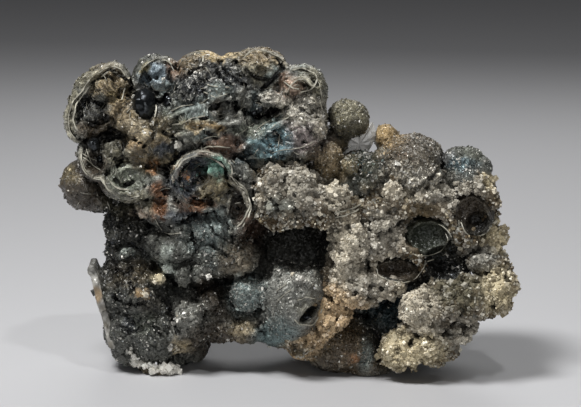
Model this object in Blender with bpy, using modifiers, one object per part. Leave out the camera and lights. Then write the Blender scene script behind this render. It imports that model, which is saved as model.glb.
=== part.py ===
"""A native arsenic specimen with a dolomite crust and a little calcite, in metres with +Z up.

The specimen stands on its feet and is looked at along +Y, a little from above. Each place is
given as that front view shows it: millimetres across from the specimen's left edge, millimetres
up from its foot, and a depth in millimetres, 0 in its middle and negative towards the viewer.
"""
import math

import bmesh
import bpy
from mathutils import Matrix, Vector, noise

MM = 0.001

# The front view: its angle from above, the eye's distance, and where its middle and X = 0 are
VIEW_ELEVATION = math.radians(10.0)
VIEW_DISTANCE = 545.0
VIEW_ACROSS = 57.1
VIEW_UP = 43.9
VIEW_HEIGHT = 41.3
ORIGIN_ACROSS = 56.0

# How fine the solids are
VOXEL = 0.85
SMOOTHING_ROUNDS = 1
ARSENIC_TRIANGLES = 6050
CRUST_TRIANGLES = 2500
GAP = 0.4
WELD = 0.01
# What lies further back than this is kept coarser
COARSE_FROM = 1.0
FRONT_WEIGHT = 0.5
FRONT_FAVOUR = 0.03

# Surface relief: height and width in millimetres
ARSENIC_RELIEF = ((0.7, 6.0), (0.4, 2.6))
CRUST_RELIEF = ((0.8, 5.0), (0.6, 2.4))

# Lumps: across, up, depth, half width, half depth, half height, and lean to the right in degrees
ARSENIC_LUMPS = (
    # the upper left block's lobes, from left to right along the top
    (9.0, 69.2, -3.0, 7.3, 11.5, 10.3, 30),
    (23.8, 74.7, -2.0, 6.1, 10.5, 6.1, 0),
    (34.5, 74.2, 1.0, 8.0, 13.0, 7.7, 0),
    (42.5, 73.5, 1.0, 5.0, 13.0, 7.5, 0),
    (49.0, 74.2, -1.0, 8.5, 12.5, 8.5, 0),
    (59.0, 71.7, -3.0, 6.8, 11.5, 7.0, 0),
    # its broken face
    (22.0, 62.2, -3.0, 10.0, 14.0, 10.0, 0),
    (34.5, 66.0, -2.0, 11.0, 15.0, 10.0, 0),
    (40.7, 62.0, -4.0, 8.0, 13.5, 8.0, 0),
    (59.0, 63.5, -5.0, 7.4, 12.5, 6.8, 0),
    (58.2, 58.5, -6.0, 7.0, 11.0, 4.6, 0),
    (50.0, 59.7, -5.0, 8.8, 12.0, 6.0, 0),
    (10.2, 56.0, -3.0, 6.0, 11.5, 6.6, 0),
    (18.7, 49.8, -6.0, 9.0, 12.5, 5.6, 0),
    (34.7, 49.3, -8.5, 7.9, 12.5, 7.8, 0),
    (44.0, 42.5, -10.5, 3.9, 8.5, 6.3, 0),
    (25.7, 43.5, -6.0, 7.5, 12.0, 5.0, 0),
    # the pod at the left edge
    (5.4, 48.3, 1.0, 5.6, 7.0, 6.0, 0),
    (9.2, 45.2, 1.0, 3.4, 6.0, 3.2, 0),
    # the dark neck
    (17.0, 38.5, 0.0, 6.5, 9.5, 5.6, 0),
    (17.7, 31.7, 0.0, 6.8, 9.5, 5.4, 0),
    # the grey middle
    (28.2, 34.7, -3.5, 8.8, 13.0, 6.3, 0),
    (38.2, 33.5, -3.5, 8.8, 13.0, 7.5, 0),
    (45.2, 30.2, -9.5, 4.5, 5.0, 4.5, 0),
    # the lower left block
    (12.9, 22.2, -1.0, 4.6, 11.0, 6.4, 0),
    (19.5, 22.2, -3.0, 7.5, 12.0, 7.5, 0),
    (16.2, 13.5, -2.0, 5.2, 11.5, 7.6, 0),
    (23.2, 12.2, -3.0, 7.5, 12.0, 9.5, 0),
    (30.7, 14.7, -1.0, 7.0, 13.0, 8.4, 0),
    (24.5, 4.2, -4.5, 5.8, 8.0, 4.0, 0),
    (17.5, 7.5, -3.0, 4.6, 8.0, 3.6, 0),
    (31.5, 8.0, 4.5, 5.2, 7.0, 4.0, 0),
    # the low middle and its balls
    (39.5, 16.4, 0.0, 7.5, 12.5, 6.8, 0),
    (47.0, 14.2, -2.0, 5.5, 11.0, 4.8, 0),
    (46.0, 21.5, -9.5, 4.3, 4.5, 4.3, 0),
    (57.5, 20.5, -11.5, 7.7, 11.0, 11.0, 0),
    (54.5, 15.2, 0.0, 8.8, 14.0, 6.8, 0),
    # the wall behind the cavity
    (58.0, 31.0, 13.0, 15.0, 10.0, 13.0, 0),
    # the right foot
    (70.5, 9.2, -2.0, 10.5, 13.0, 7.4, 0),
    (76.3, 4.2, -5.5, 6.2, 9.0, 4.8, 0),
    (75.0, 5.0, 6.0, 8.5, 10.0, 7.0, 0),
    (64.0, 13.2, -1.0, 8.5, 12.5, 6.8, 0),
    (61.0, 8.8, -6.5, 5.2, 7.0, 3.8, 0),
    (66.5, 6.8, -5.0, 5.5, 8.5, 4.2, 0),
    # the mass behind the crust
    (75.7, 29.7, 3.0, 12.0, 12.5, 15.0, 0),
    (93.2, 38.5, 2.0, 13.0, 12.5, 13.0, 0),
    (101.7, 44.5, 1.0, 6.2, 11.0, 8.8, 0),
    (92.0, 23.5, 1.0, 11.0, 11.5, 8.8, 0),
    (84.5, 15.0, 0.0, 8.5, 11.0, 8.0, 0),
    (64.5, 47.2, 2.0, 10.0, 12.0, 7.5, 0),
    (57.0, 44.7, 1.0, 10.0, 12.0, 7.5, 0),
    # the domes and balls of the right hand top
    (87.2, 54.0, -4.0, 8.3, 12.5, 7.3, 0),
    (74.5, 51.2, -3.0, 7.0, 11.5, 5.5, 0),
    (100.2, 51.8, -1.0, 7.0, 11.5, 6.1, 0),
    (71.8, 65.0, -2.5, 5.1, 5.1, 5.1, 0),
    (68.2, 59.7, 1.5, 3.6, 5.0, 4.0, 0),
    (66.2, 54.8, -8.0, 3.8, 5.0, 4.6, 0),
    (81.2, 60.0, 6.0, 3.6, 4.0, 3.6, 0),
    # the cups that show through the crust
    (102.2, 41.2, -10.0, 5.4, 7.0, 5.4, 0),
    (91.8, 35.3, -10.5, 6.6, 7.5, 5.3, 0),
    (83.6, 27.0, -11.0, 6.8, 7.5, 3.6, 0),
    (95.0, 27.0, -8.0, 6.6, 7.5, 5.4, 0),
)

# Botryoids of the back: across, up and radius, with their middles at this depth
BACK_DEPTH = 11.5
BACK_LUMPS = (
    (13.0, 66.5, 7.2), (22.5, 69.0, 7.6), (34.0, 70.5, 8.2), (47.0, 70.0, 8.6), (57.5, 67.0, 7.2),
    (14.5, 54.5, 7.4), (26.5, 56.0, 9.6), (40.0, 57.0, 10.0), (53.0, 56.0, 9.0), (19.5, 42.5, 7.0),
    (31.0, 42.0, 9.4), (45.0, 43.5, 9.6), (64.5, 49.5, 7.4), (20.0, 28.0, 8.0), (34.0, 27.0, 9.0),
    (22.0, 16.5, 7.8), (34.5, 17.5, 6.0), (76.0, 49.0, 6.6), (87.0, 48.5, 8.2), (98.5, 47.5, 7.2),
    (74.0, 36.5, 9.6), (89.0, 34.0, 10.2), (102.0, 38.0, 5.8), (72.0, 20.5, 9.6), (86.0, 21.0, 9.0),
    (96.0, 24.5, 6.6), (70.0, 10.5, 7.6), (81.5, 11.0, 6.4), (49.0, 24.5, 8.0), (60.0, 19.0, 7.4),
)

# Hollows, as the lumps: the broken shells' insides
HOLLOWS = (
    (9.1, 69.6, -14.0, 5.7, 8.0, 8.4, 30),
    (12.0, 59.0, -15.0, 4.4, 8.5, 3.7, 0),
    (8.0, 54.0, -15.0, 2.7, 6.0, 3.2, 0),
    (20.5, 67.7, -18.0, 3.8, 8.0, 4.4, 0),
    (25.2, 69.2, -17.5, 1.7, 6.0, 2.4, 0),
    (23.8, 75.2, -11.0, 4.7, 6.0, 4.5, 0),
    (38.0, 67.7, -18.0, 1.6, 5.0, 1.5, 0),
    (48.7, 68.4, -16.5, 2.4, 6.0, 3.2, 0),
    (54.3, 72.6, -13.5, 3.2, 5.0, 1.9, -30),
    (50.5, 75.0, -12.5, 5.6, 3.0, 4.6, 0),
    (59.4, 72.4, -13.5, 5.0, 3.6, 4.4, 0),
    (34.8, 49.9, -20.5, 6.5, 8.5, 6.1, 0),
    (43.9, 42.4, -19.5, 2.6, 7.0, 4.9, 0),
    (17.2, 50.2, -19.0, 6.6, 5.0, 3.7, 0),
    (24.4, 43.8, -19.0, 2.0, 5.0, 3.2, 0),
    (35.0, 43.7, -20.0, 4.0, 6.0, 1.8, 0),
    (61.0, 17.0, -22.5, 2.3, 3.5, 1.3, -25),
)
# The cups that open through the crust, and the cavity in the middle
CUP_HOLLOWS = (
    (102.2, 41.2, -16.9, 4.4, 5.5, 4.4, 0),
    (91.8, 35.3, -18.4, 5.5, 6.0, 4.1, 0),
    (83.6, 27.0, -18.8, 5.6, 5.5, 2.3, 0),
    (94.8, 27.2, -17.0, 5.2, 7.0, 3.6, 0),
)
CAVITY = (
    (59.0, 33.0, -13.0, 9.0, 18.0, 5.9, 0),
    (51.0, 28.6, -12.0, 2.2, 8.0, 4.0, 0),
)
# Clefts: half width, how far each goes back, then places across, up and depth
CLEFTS = (
    (1.0, 3, (47.6, 52.5, -18), (48.2, 48.5, -17), (48.7, 44.5, -17)),
    (1.1, 3, (22.0, 24.0, -17), (26.5, 18.0, -16), (28.5, 12.0, -15)),
)

# Rims of the broken shells and ledges of the layered face: half width, how far the wall goes
# back behind it, then places
RIMS = (
    (0.9, 3, (4.5, 59.4, -8), (2.6, 60.5, -8), (1.5, 62.9, -8), (1.5, 66.0, -8), (2.5, 69.0, -8),
     (4.3, 71.5, -8), (7.9, 76.0, -8), (11.8, 78.2, -8), (14.6, 77.7, -8), (16.1, 75.7, -8)),
    (0.8, 3, (19.2, 76.8, -6), (20.4, 78.7, -6), (22.1, 79.9, -6), (24.0, 80.3, -6),
     (26.0, 79.8, -6), (27.6, 78.7, -6)),
    (0.8, 2, (46.4, 81.0, -5), (50.0, 81.9, -5), (54.0, 80.5, -5), (56.2, 78.0, -6)),
    (0.8, 3, (57.4, 77.6, -7), (60.5, 78.0, -7), (63.6, 76.0, -7), (65.0, 72.6, -7),
     (64.8, 69.0, -8)),
    (0.7, 2, (56.0, 71.5, -13), (57.4, 74.2, -12), (60.4, 75.2, -12), (63.0, 73.4, -12)),
    (1.1, 6, (28.0, 49.7, -18), (28.5, 52.2, -19), (30.0, 54.2, -19), (32.0, 55.8, -19),
     (35.0, 56.3, -19), (38.2, 55.6, -19), (40.0, 54.8, -19), (41.5, 53.2, -18), (42.2, 49.6, -17),
     (45.3, 46.5, -17), (46.4, 44.0, -17), (46.2, 41.0, -17), (44.6, 38.3, -17), (42.0, 37.0, -17)),
    (0.8, 5, (4.9, 57.2, -11), (5.1, 54.0, -11), (6.3, 51.6, -12), (8.3, 50.4, -13),
     (10.3, 50.4, -14), (11.0, 48.5, -15), (12.6, 46.8, -15), (14.6, 45.7, -15), (17.0, 45.2, -15),
     (19.0, 45.8, -16)),
    (1.1, 2, (27.0, 65.3, -16), (32.0, 67.5, -16), (38.0, 69.6, -15), (44.5, 69.8, -14)),
    (1.2, 2, (28.3, 61.0, -16), (34.0, 61.8, -17), (39.5, 63.6, -17), (44.5, 64.3, -16)),
    (0.8, 2, (44.5, 57.3, -15), (49.0, 60.2, -16), (53.0, 63.0, -16), (57.5, 65.5, -16)),
    (0.9, 2, (46.0, 55.2, -14), (52.0, 56.0, -15), (58.0, 57.6, -16), (64.0, 59.8, -15)),
    (0.7, 3, (97.6, 40.2, -15), (98.8, 37.4, -15), (101.5, 36.2, -15), (104.4, 36.7, -15),
     (106.4, 39.2, -14)),
    (0.8, 3, (88.6, 31.0, -16), (90.5, 30.4, -16), (93.0, 30.6, -16), (96.4, 32.8, -15),
     (97.4, 36.5, -14)),
    (0.7, 3, (78.2, 26.4, -16), (80.7, 24.6, -16), (85.7, 24.0, -16), (89.2, 25.4, -16),
     (90.6, 28.8, -16)),
)

# Balls and small lumps that sit in the hollows and on the face: across, up, depth and radius
SMALL_LUMPS = (
    # in the first lobe and the hollow under it
    (7.8, 66.2, -9.0, 2.5), (10.8, 72.2, -8.0, 3.2), (12.9, 67.5, -9.5, 2.4), (5.4, 63.0, -9.5, 2.2),
    (8.0, 58.5, -10.5, 2.2), (12.8, 56.8, -11.0, 2.6),
    # glossy ball, second lobe's balls, the gem and the pale crystal beside it
    (20.7, 68.9, -12.5, 3.0), (23.8, 77.3, -6.5, 2.7), (24.8, 74.0, -9.0, 2.4),
    (25.2, 56.0, -16.8, 1.5), (29.0, 58.8, -17.0, 1.7),
    # in the ring hollow
    (38.3, 52.7, -16.5, 2.1), (38.6, 48.6, -15.5, 3.0), (31.5, 50.5, -15.0, 2.4),
    (34.0, 47.5, -15.5, 2.2),
    # on the layered face
    (57.5, 73.0, -11.5, 2.2), (52.0, 70.2, -14.5, 2.2), (38.5, 71.7, -13.5, 3.2),
    (31.0, 71.5, -13.5, 2.6), (16.5, 63.0, -16.0, 2.4), (62.5, 63.5, -16.5, 1.6),
    # pale lumps beside the cleft
    (44.0, 52.5, -15.5, 2.4), (46.2, 50.8, -15.5, 2.2), (45.2, 48.6, -15.5, 2.0),
    # on the grey middle and the neck
    (26.5, 31.8, -14.8, 1.7), (26.6, 27.8, -13.8, 1.7), (24.3, 25.3, -13.5, 1.5),
    (15.8, 31.6, -9.5, 1.6), (12.6, 35.8, -7.5, 1.8), (30.5, 26.0, -13.5, 2.7),
    (34.5, 26.5, -13.8, 2.4), (31.5, 14.7, -13.5, 2.8), (36.5, 19.5, -12.0, 2.6),
    (41.0, 12.8, -11.0, 2.6), (43.5, 12.0, -10.5, 2.2),
    # sparkling lumps under the upper ball
    (72.2, 53.5, -13.0, 2.3), (76.0, 48.5, -13.5, 2.4),
)

CRUST_LUMPS = (
    # the pale lobe above the cavity
    (53.2, 47.7, -12.5, 5.0, 8.0, 6.1, 0),
    (59.5, 47.2, -13.0, 6.6, 8.0, 6.2, 0),
    (65.7, 44.2, -11.5, 5.6, 8.0, 5.4, 0),
    (55.7, 41.7, -13.0, 6.0, 7.0, 3.2, 0),
    (63.2, 41.5, -12.5, 6.5, 7.0, 3.0, 0),
    (68.7, 45.2, -15.5, 2.9, 4.0, 3.0, 0),
    # the crust to the right of the cavity
    (72.0, 41.2, -9.5, 6.2, 8.0, 4.5, 0),
    (78.2, 42.4, -9.5, 6.2, 8.0, 5.0, 0),
    (84.5, 44.7, -9.5, 6.2, 8.0, 4.2, 0),
    (72.5, 33.5, -11.0, 5.8, 9.0, 7.0, 0),
    (71.5, 24.7, -11.0, 6.5, 9.0, 7.0, 0),
    (78.2, 34.7, -9.5, 7.0, 9.0, 7.0, 0),
    (79.5, 24.6, -10.5, 7.0, 8.0, 4.4, 0),
    (67.0, 17.2, -10.5, 5.5, 8.0, 5.5, 0),
    (60.7, 11.2, -11.5, 4.5, 6.0, 3.4, 0),
    (87.0, 34.5, -8.5, 6.5, 9.0, 6.5, 0),
    # lumps that stand out of it
    (83.0, 46.8, -15.5, 2.6, 3.0, 2.2, 0),
    (90.0, 45.5, -14.0, 2.4, 3.0, 2.0, 0),
    (74.0, 35.8, -18.0, 2.6, 3.0, 2.4, 0),
    (70.8, 30.4, -18.0, 2.4, 3.0, 2.6, 0),
    (79.4, 38.6, -16.6, 2.8, 3.0, 2.2, 0),
    (72.0, 21.8, -18.0, 2.6, 3.0, 2.2, 0),
    # around the cups
    (94.5, 44.7, -8.0, 7.0, 8.0, 5.0, 0),
    (101.8, 47.2, -6.5, 6.2, 8.0, 4.8, 0),
    (105.4, 44.0, -4.5, 3.3, 8.0, 7.0, 0),
    (98.2, 36.0, -8.0, 5.5, 7.0, 5.0, 0),
    (107.9, 36.0, -6.0, 3.0, 4.0, 2.7, 0),
    (104.0, 33.6, -6.0, 4.4, 5.5, 2.6, 0),
    (104.6, 29.4, -8.5, 3.6, 6.0, 3.2, 0),
    (108.9, 28.3, -9.0, 2.2, 4.0, 2.4, 0),
    # the slab that leans out at the lower right
    (108.6, 22.8, -14.0, 4.2, 7.0, 4.3, 0),
    (102.0, 20.4, -16.0, 6.0, 7.0, 5.3, 0),
    (94.5, 18.6, -17.0, 6.5, 7.0, 5.6, 0),
    (88.2, 16.9, -17.0, 4.6, 7.0, 6.0, 0),
    (98.2, 13.7, -15.0, 5.4, 7.0, 4.4, 0),
    (92.0, 10.2, -16.0, 6.0, 7.0, 5.0, 0),
    (85.0, 7.7, -15.0, 5.4, 6.5, 4.6, 0),
    (93.6, 7.2, -13.0, 4.0, 6.0, 3.0, 0),
)

# The translucent calcite blade behind the upper ball, and the rind of the left edge, as outlines
BLADE_OUTLINE = ((76.2, 61.7), (77.6, 64.3), (78.2, 61.0), (76.4, 57.2), (74.6, 54.6), (71.4, 54.2),
                 (70.8, 58.0), (73.0, 60.0))
BLADE_DEPTH = 4.6
BLADE_THICKNESS = 2.0
RIND_OUTLINE = ((6.5, 28.4), (7.6, 29.2), (8.9, 28.2), (9.4, 24.6), (10.6, 19.6), (12.2, 14.6),
                (13.4, 8.4), (11.6, 8.2), (10.4, 11.2), (9.6, 14.8), (8.6, 17.8), (7.9, 20.3),
                (7.1, 23.0), (6.6, 26.0))
RIND_DEPTH = -1.5
RIND_THICKNESS = 15.0

# Colour, roughness and metallic share of each mineral
MATERIALS = {
    "arsenic_mass": ((0.075, 0.072, 0.062, 1), 0.55, 0.3),
    "dolomite_crust": ((0.33, 0.29, 0.22, 1), 0.75, 0.0),
    "calcite_blade": ((0.48, 0.47, 0.44, 1), 0.3, 0.0),
    "calcite_rind": ((0.55, 0.52, 0.45, 1), 0.55, 0.0),
}


def clear_scene():
    """Removes the objects that the file started with."""
    for thing in list(bpy.data.objects):
        bpy.data.objects.remove(thing, do_unlink=True)


def new_collection(name):
    """A collection of the scene."""
    group = bpy.data.collections.new(name)
    bpy.context.scene.collection.children.link(group)
    return group


def seen(across, up, depth):
    """The world place of a spot of the front view, carried along its line of sight to a depth."""
    ahead = Vector((0, math.cos(VIEW_ELEVATION), -math.sin(VIEW_ELEVATION)))
    above = Vector((0, math.sin(VIEW_ELEVATION), math.cos(VIEW_ELEVATION)))
    eye = Vector((VIEW_ACROSS - ORIGIN_ACROSS, 0, VIEW_HEIGHT)) - ahead * VIEW_DISTANCE
    ray = ahead * VIEW_DISTANCE + above * (up - VIEW_UP)
    ray.x = across - VIEW_ACROSS
    return (eye + ray * ((depth - eye.y) / ray.y)) * MM


def ball(mesh, place, radii, lean=0, detail=3):
    """Adds an ellipsoid to a bmesh: its radii are millimetres in width, depth and height."""
    turn = Matrix.Rotation(math.radians(lean), 4, "Y")
    size = Matrix.Diagonal(Vector((*radii, 1)) * MM)
    size[3][3] = 1
    bmesh.ops.create_icosphere(mesh, subdivisions=detail, radius=1,
                               matrix=Matrix.Translation(place) @ turn @ size)


def ellipsoids(mesh, lumps):
    """Adds the lumps of a table to a bmesh."""
    for across, up, depth, width, thickness, height, lean in lumps:
        ball(mesh, seen(across, up, depth), (width, thickness, height), lean)


def ridge(mesh, radius, wall, spots):
    """Adds a rounded wall along spots of the front view, as a close row of balls drawn out back."""
    places = [seen(*spot) + Vector((0, wall / 2 * MM, 0)) for spot in spots]
    radii = (radius, radius + wall / 2, radius)
    for start, end in zip(places, places[1:]):
        steps = max(1, round((end - start).length / (radius * MM * 0.7)))
        for step in range(steps):
            ball(mesh, start.lerp(end, step / steps), radii, detail=2)
    ball(mesh, places[-1], radii, detail=2)


def new_object(name, mesh, group):
    """An object made from a bmesh, in a collection."""
    data = bpy.data.meshes.new(name)
    mesh.to_mesh(data)
    mesh.free()
    thing = bpy.data.objects.new(name, data)
    group.objects.link(thing)
    return thing


def apply_modifiers(thing):
    """Replaces an object's mesh by what its modifiers make of it."""
    graph = bpy.context.evaluated_depsgraph_get()
    made = bpy.data.meshes.new_from_object(thing.evaluated_get(graph))
    thing.modifiers.clear()
    thing.data = made


def fuse(thing):
    """Fuses the overlapping shapes of an object into one skin and softens it a little."""
    remesh = thing.modifiers.new("fuse", "REMESH")
    remesh.mode = "VOXEL"
    remesh.voxel_size = VOXEL * MM
    soften = thing.modifiers.new("soften", "SMOOTH")
    soften.factor = 0.5
    soften.iterations = SMOOTHING_ROUNDS
    apply_modifiers(thing)


def cut(thing, cutter, crosses_itself=False):
    """Cuts an object with another by an exact Boolean."""
    boolean = thing.modifiers.new("cut", "BOOLEAN")
    boolean.operation = "DIFFERENCE"
    boolean.solver = "EXACT"
    boolean.use_self = crosses_itself
    boolean.object = cutter
    apply_modifiers(thing)


def roughen(thing, relief):
    """Moves the skin in and out by seeded noise of the given heights and widths."""
    normals = [vertex.normal.copy() for vertex in thing.data.vertices]
    for vertex, normal in zip(thing.data.vertices, normals):
        push = sum(height * noise.noise(vertex.co / (width * MM)) for height, width in relief)
        vertex.co += normal * push * MM


def thin_out(thing, triangles):
    """Brings a skin down to a number of triangles, and keeps its front finer than its back."""
    coarse = thing.vertex_groups.new(name="coarse")
    back = [v.index for v in thing.data.vertices if v.co.y > COARSE_FROM * MM]
    front = [v.index for v in thing.data.vertices if v.co.y <= COARSE_FROM * MM]
    coarse.add(back, 1.0, "REPLACE")
    coarse.add(front, FRONT_WEIGHT, "REPLACE")
    decimate = thing.modifiers.new("thin out", "DECIMATE")
    now = sum(len(face.vertices) - 2 for face in thing.data.polygons)
    decimate.ratio = min(1.0, triangles / now)
    decimate.use_collapse_triangulate = True
    decimate.vertex_group = coarse.name
    decimate.vertex_group_factor = FRONT_FAVOUR
    apply_modifiers(thing)
    thing.vertex_groups.clear()


def largest_piece(thing):
    """Keeps only the largest connected piece of a skin."""
    mesh = bmesh.new()
    mesh.from_mesh(thing.data)
    bmesh.ops.remove_doubles(mesh, verts=mesh.verts, dist=WELD * MM)
    bmesh.ops.triangulate(mesh, faces=mesh.faces)
    unseen = set(mesh.verts)
    pieces = []
    while unseen:
        piece = {unseen.pop()}
        front = list(piece)
        while front:
            for edge in front.pop().link_edges:
                for vertex in edge.verts:
                    if vertex in unseen:
                        unseen.remove(vertex)
                        piece.add(vertex)
                        front.append(vertex)
        pieces.append(piece)
    keep = max(pieces, key=len)
    bmesh.ops.delete(mesh, geom=[v for v in mesh.verts if v not in keep], context="VERTS")
    mesh.to_mesh(thing.data)
    mesh.free()


def make_cutter(name, cutters, lumps, clefts=()):
    """One cutter of all the given hollows and clefts."""
    mesh = bmesh.new()
    ellipsoids(mesh, lumps)
    for radius, wall, *spots in clefts:
        ridge(mesh, radius, wall, spots)
    cutter = new_object(name, mesh, cutters)
    fuse(cutter)
    cutter.hide_render = True
    cutter.display_type = "WIRE"
    return cutter


def make_ground(cutters):
    """The room under the floor, which cuts the feet flat."""
    mesh = bmesh.new()
    width, height = 300 * MM, 50 * MM
    size = Matrix.Diagonal((width, width, height, 1))
    bmesh.ops.create_cube(mesh, size=1, matrix=Matrix.Translation((0, 0, -height / 2)) @ size)
    ground = new_object("ground", mesh, cutters)
    ground.hide_render = True
    ground.display_type = "WIRE"
    return ground


def make_arsenic(parts, cutters, ground):
    """The arsenic: lobes, balls and feet in one body, with its broken shells hollowed out."""
    mesh = bmesh.new()
    ellipsoids(mesh, ARSENIC_LUMPS)
    for across, up, radius in BACK_LUMPS:
        ball(mesh, seen(across, up, BACK_DEPTH), (radius,) * 3)
    body = new_object("arsenic_mass", mesh, parts)
    fuse(body)
    cut(body, make_cutter("hollows", cutters, HOLLOWS + CUP_HOLLOWS + CAVITY, CLEFTS))
    mesh = bmesh.new()
    mesh.from_mesh(body.data)
    for radius, wall, *spots in RIMS:
        ridge(mesh, radius, wall, spots)
    for across, up, depth, radius in SMALL_LUMPS:
        ball(mesh, seen(across, up, depth), (radius,) * 3, detail=2)
    mesh.to_mesh(body.data)
    mesh.free()
    fuse(body)
    roughen(body, ARSENIC_RELIEF)
    thin_out(body, ARSENIC_TRIANGLES)
    cut(body, ground)
    largest_piece(body)
    return body


def make_room(arsenic, cutters):
    """The arsenic swollen by the gap that its neighbours keep to it."""
    room = bpy.data.objects.new("room", arsenic.data.copy())
    cutters.objects.link(room)
    swell = room.modifiers.new("swell", "DISPLACE")
    swell.mid_level = 0
    swell.strength = GAP * MM
    apply_modifiers(room)
    room.hide_render = True
    room.display_type = "WIRE"
    return room


def make_crust(parts, cutters, room):
    """The dolomite crust over the arsenic's right hand front, with the slab below it."""
    mesh = bmesh.new()
    ellipsoids(mesh, CRUST_LUMPS)
    crust = new_object("dolomite_crust", mesh, parts)
    fuse(crust)
    cut(crust, make_cutter("cups", cutters, CUP_HOLLOWS + CAVITY))
    fuse(crust)
    roughen(crust, CRUST_RELIEF)
    thin_out(crust, CRUST_TRIANGLES)
    cut(crust, room, crosses_itself=True)
    largest_piece(crust)
    return crust


def make_plate(name, outline, depth, thickness, parts, room):
    """A calcite plate: an outline of the front view with a thickness, trimmed by the arsenic."""
    curve = bpy.data.curves.new(name, "CURVE")
    curve.dimensions = "2D"
    curve.fill_mode = "BOTH"
    curve.extrude = thickness / 2 * MM
    spline = curve.splines.new("POLY")
    spline.points.add(len(outline) - 1)
    spline.use_cyclic_u = True
    for point, (across, up) in zip(spline.points, outline):
        place = seen(across, up, depth)
        point.co = (place.x, place.z, 0, 1)
    drawn = bpy.data.objects.new(name + "_outline", curve)
    parts.objects.link(drawn)
    graph = bpy.context.evaluated_depsgraph_get()
    data = bpy.data.meshes.new_from_object(drawn.evaluated_get(graph))
    bpy.data.objects.remove(drawn, do_unlink=True)
    mesh = bmesh.new()
    mesh.from_mesh(data)
    bmesh.ops.remove_doubles(mesh, verts=mesh.verts, dist=WELD * MM)
    upright = Matrix.Translation((0, depth * MM, 0)) @ Matrix.Rotation(math.radians(90), 4, "X")
    bmesh.ops.transform(mesh, matrix=upright, verts=mesh.verts)
    bmesh.ops.recalc_face_normals(mesh, faces=mesh.faces)
    plate = new_object(name, mesh, parts)
    cut(plate, room, crosses_itself=True)
    largest_piece(plate)
    return plate


def finish(thing):
    """Gives a solid its own Principled material."""
    colour, roughness, metallic = MATERIALS[thing.name]
    material = bpy.data.materials.new(thing.name)
    material.use_nodes = True
    shader = material.node_tree.nodes["Principled BSDF"]
    shader.inputs["Base Color"].default_value = colour
    shader.inputs["Roughness"].default_value = roughness
    shader.inputs["Metallic"].default_value = metallic
    thing.data.materials.clear()
    thing.data.materials.append(material)


def main():
    clear_scene()
    parts = new_collection("native_arsenic")
    cutters = new_collection("cutters")
    arsenic = make_arsenic(parts, cutters, make_ground(cutters))
    room = make_room(arsenic, cutters)
    crust = make_crust(parts, cutters, room)
    blade = make_plate("calcite_blade", BLADE_OUTLINE, BLADE_DEPTH, BLADE_THICKNESS, parts, room)
    rind = make_plate("calcite_rind", RIND_OUTLINE, RIND_DEPTH, RIND_THICKNESS, parts, room)
    for solid in (arsenic, crust, blade, rind):
        finish(solid)


main()
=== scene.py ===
"""A native arsenic specimen with its dolomite crust and calcite: the fine surface and the look.

Lengths are millimetres unless a name says otherwise. A place on the specimen is given as the front
view shows it: across from the specimen's left edge, up from its foot, and a depth that is 0 in its
middle and negative towards the viewer. A height or depth that stands out is measured from there.
"""
import itertools
import math

import bmesh
import bpy
import numpy as np
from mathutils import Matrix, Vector


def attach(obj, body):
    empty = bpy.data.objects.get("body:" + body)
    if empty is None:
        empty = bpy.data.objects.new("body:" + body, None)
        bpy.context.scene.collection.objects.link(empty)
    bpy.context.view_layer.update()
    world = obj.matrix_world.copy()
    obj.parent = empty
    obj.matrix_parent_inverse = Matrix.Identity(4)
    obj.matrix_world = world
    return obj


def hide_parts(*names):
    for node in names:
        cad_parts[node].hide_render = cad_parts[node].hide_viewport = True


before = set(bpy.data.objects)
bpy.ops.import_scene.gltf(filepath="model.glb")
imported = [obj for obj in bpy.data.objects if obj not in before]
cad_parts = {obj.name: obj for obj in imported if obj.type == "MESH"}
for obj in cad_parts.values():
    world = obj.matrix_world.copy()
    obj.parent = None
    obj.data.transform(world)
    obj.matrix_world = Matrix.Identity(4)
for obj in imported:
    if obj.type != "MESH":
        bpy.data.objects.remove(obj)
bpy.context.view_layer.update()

MM = 0.001

# The front view: its angle from above, the eye's distance, the width that it takes in, and where
# its middle and X = 0 are
VIEW_ELEVATION = math.radians(10.0)
VIEW_DISTANCE = 545.0
VIEW_WIDTH = 145.25
VIEW_ACROSS = 57.1
VIEW_UP = 43.9
VIEW_HEIGHT = 41.3
ORIGIN_ACROSS = 56.0
SENSOR = 36.0

AHEAD = np.array((0, math.cos(VIEW_ELEVATION), -math.sin(VIEW_ELEVATION)))
ABOVE = np.array((0, math.sin(VIEW_ELEVATION), math.cos(VIEW_ELEVATION)))
EYE = np.array((VIEW_ACROSS - ORIGIN_ACROSS, 0, VIEW_HEIGHT)) - AHEAD * VIEW_DISTANCE

# The grid that the surfaces are worked out on, the distance far from any surface, and how far
# around a shape the grid is changed
STEP = 0.32
LOW = np.array((-58.6, -27.0, -0.8))
HIGH = np.array((58.2, 26.2, 83.4))
SHAPE = tuple(int(count) for count in np.ceil((HIGH - LOW) / STEP))
AXES = [(LOW[axis] + STEP * np.arange(SHAPE[axis])).astype(np.float32) for axis in range(3)]
FAR = 6.0
REACH = 3.0

# How softly shapes join: large lumps, hollows, rims and small lumps, and beads and cracks
LUMP_BLEND = 0.9
HOLLOW_BLEND = 0.4
RIM_BLEND = 0.3
BEAD_BLEND = 0.25
# The same for the distance from the rims that their colour follows
RIM_EDGE = 0.05

# The most triangles of the skins and the rind
SKIN_TRIANGLES = 195000
CRUST_TRIANGLES = 130000
RIND_TRIANGLES = 12000
# The depth behind which a skin's triangles are larger
BACK_STARTS = 4.0

# How far around a place its openness is worked out, near it and in the wide
NEAR_SPACE = 1.0
WIDE_SPACE = 4.0
CRUST_WIDE_SPACE = 3.5

# Waves of the large surfaces: heights and widths
ARSENIC_WAVES = ((0.7, 6.0), (0.35, 2.6))
CRUST_WAVES = ((1.3, 5.0), (1.1, 2.6))

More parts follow.
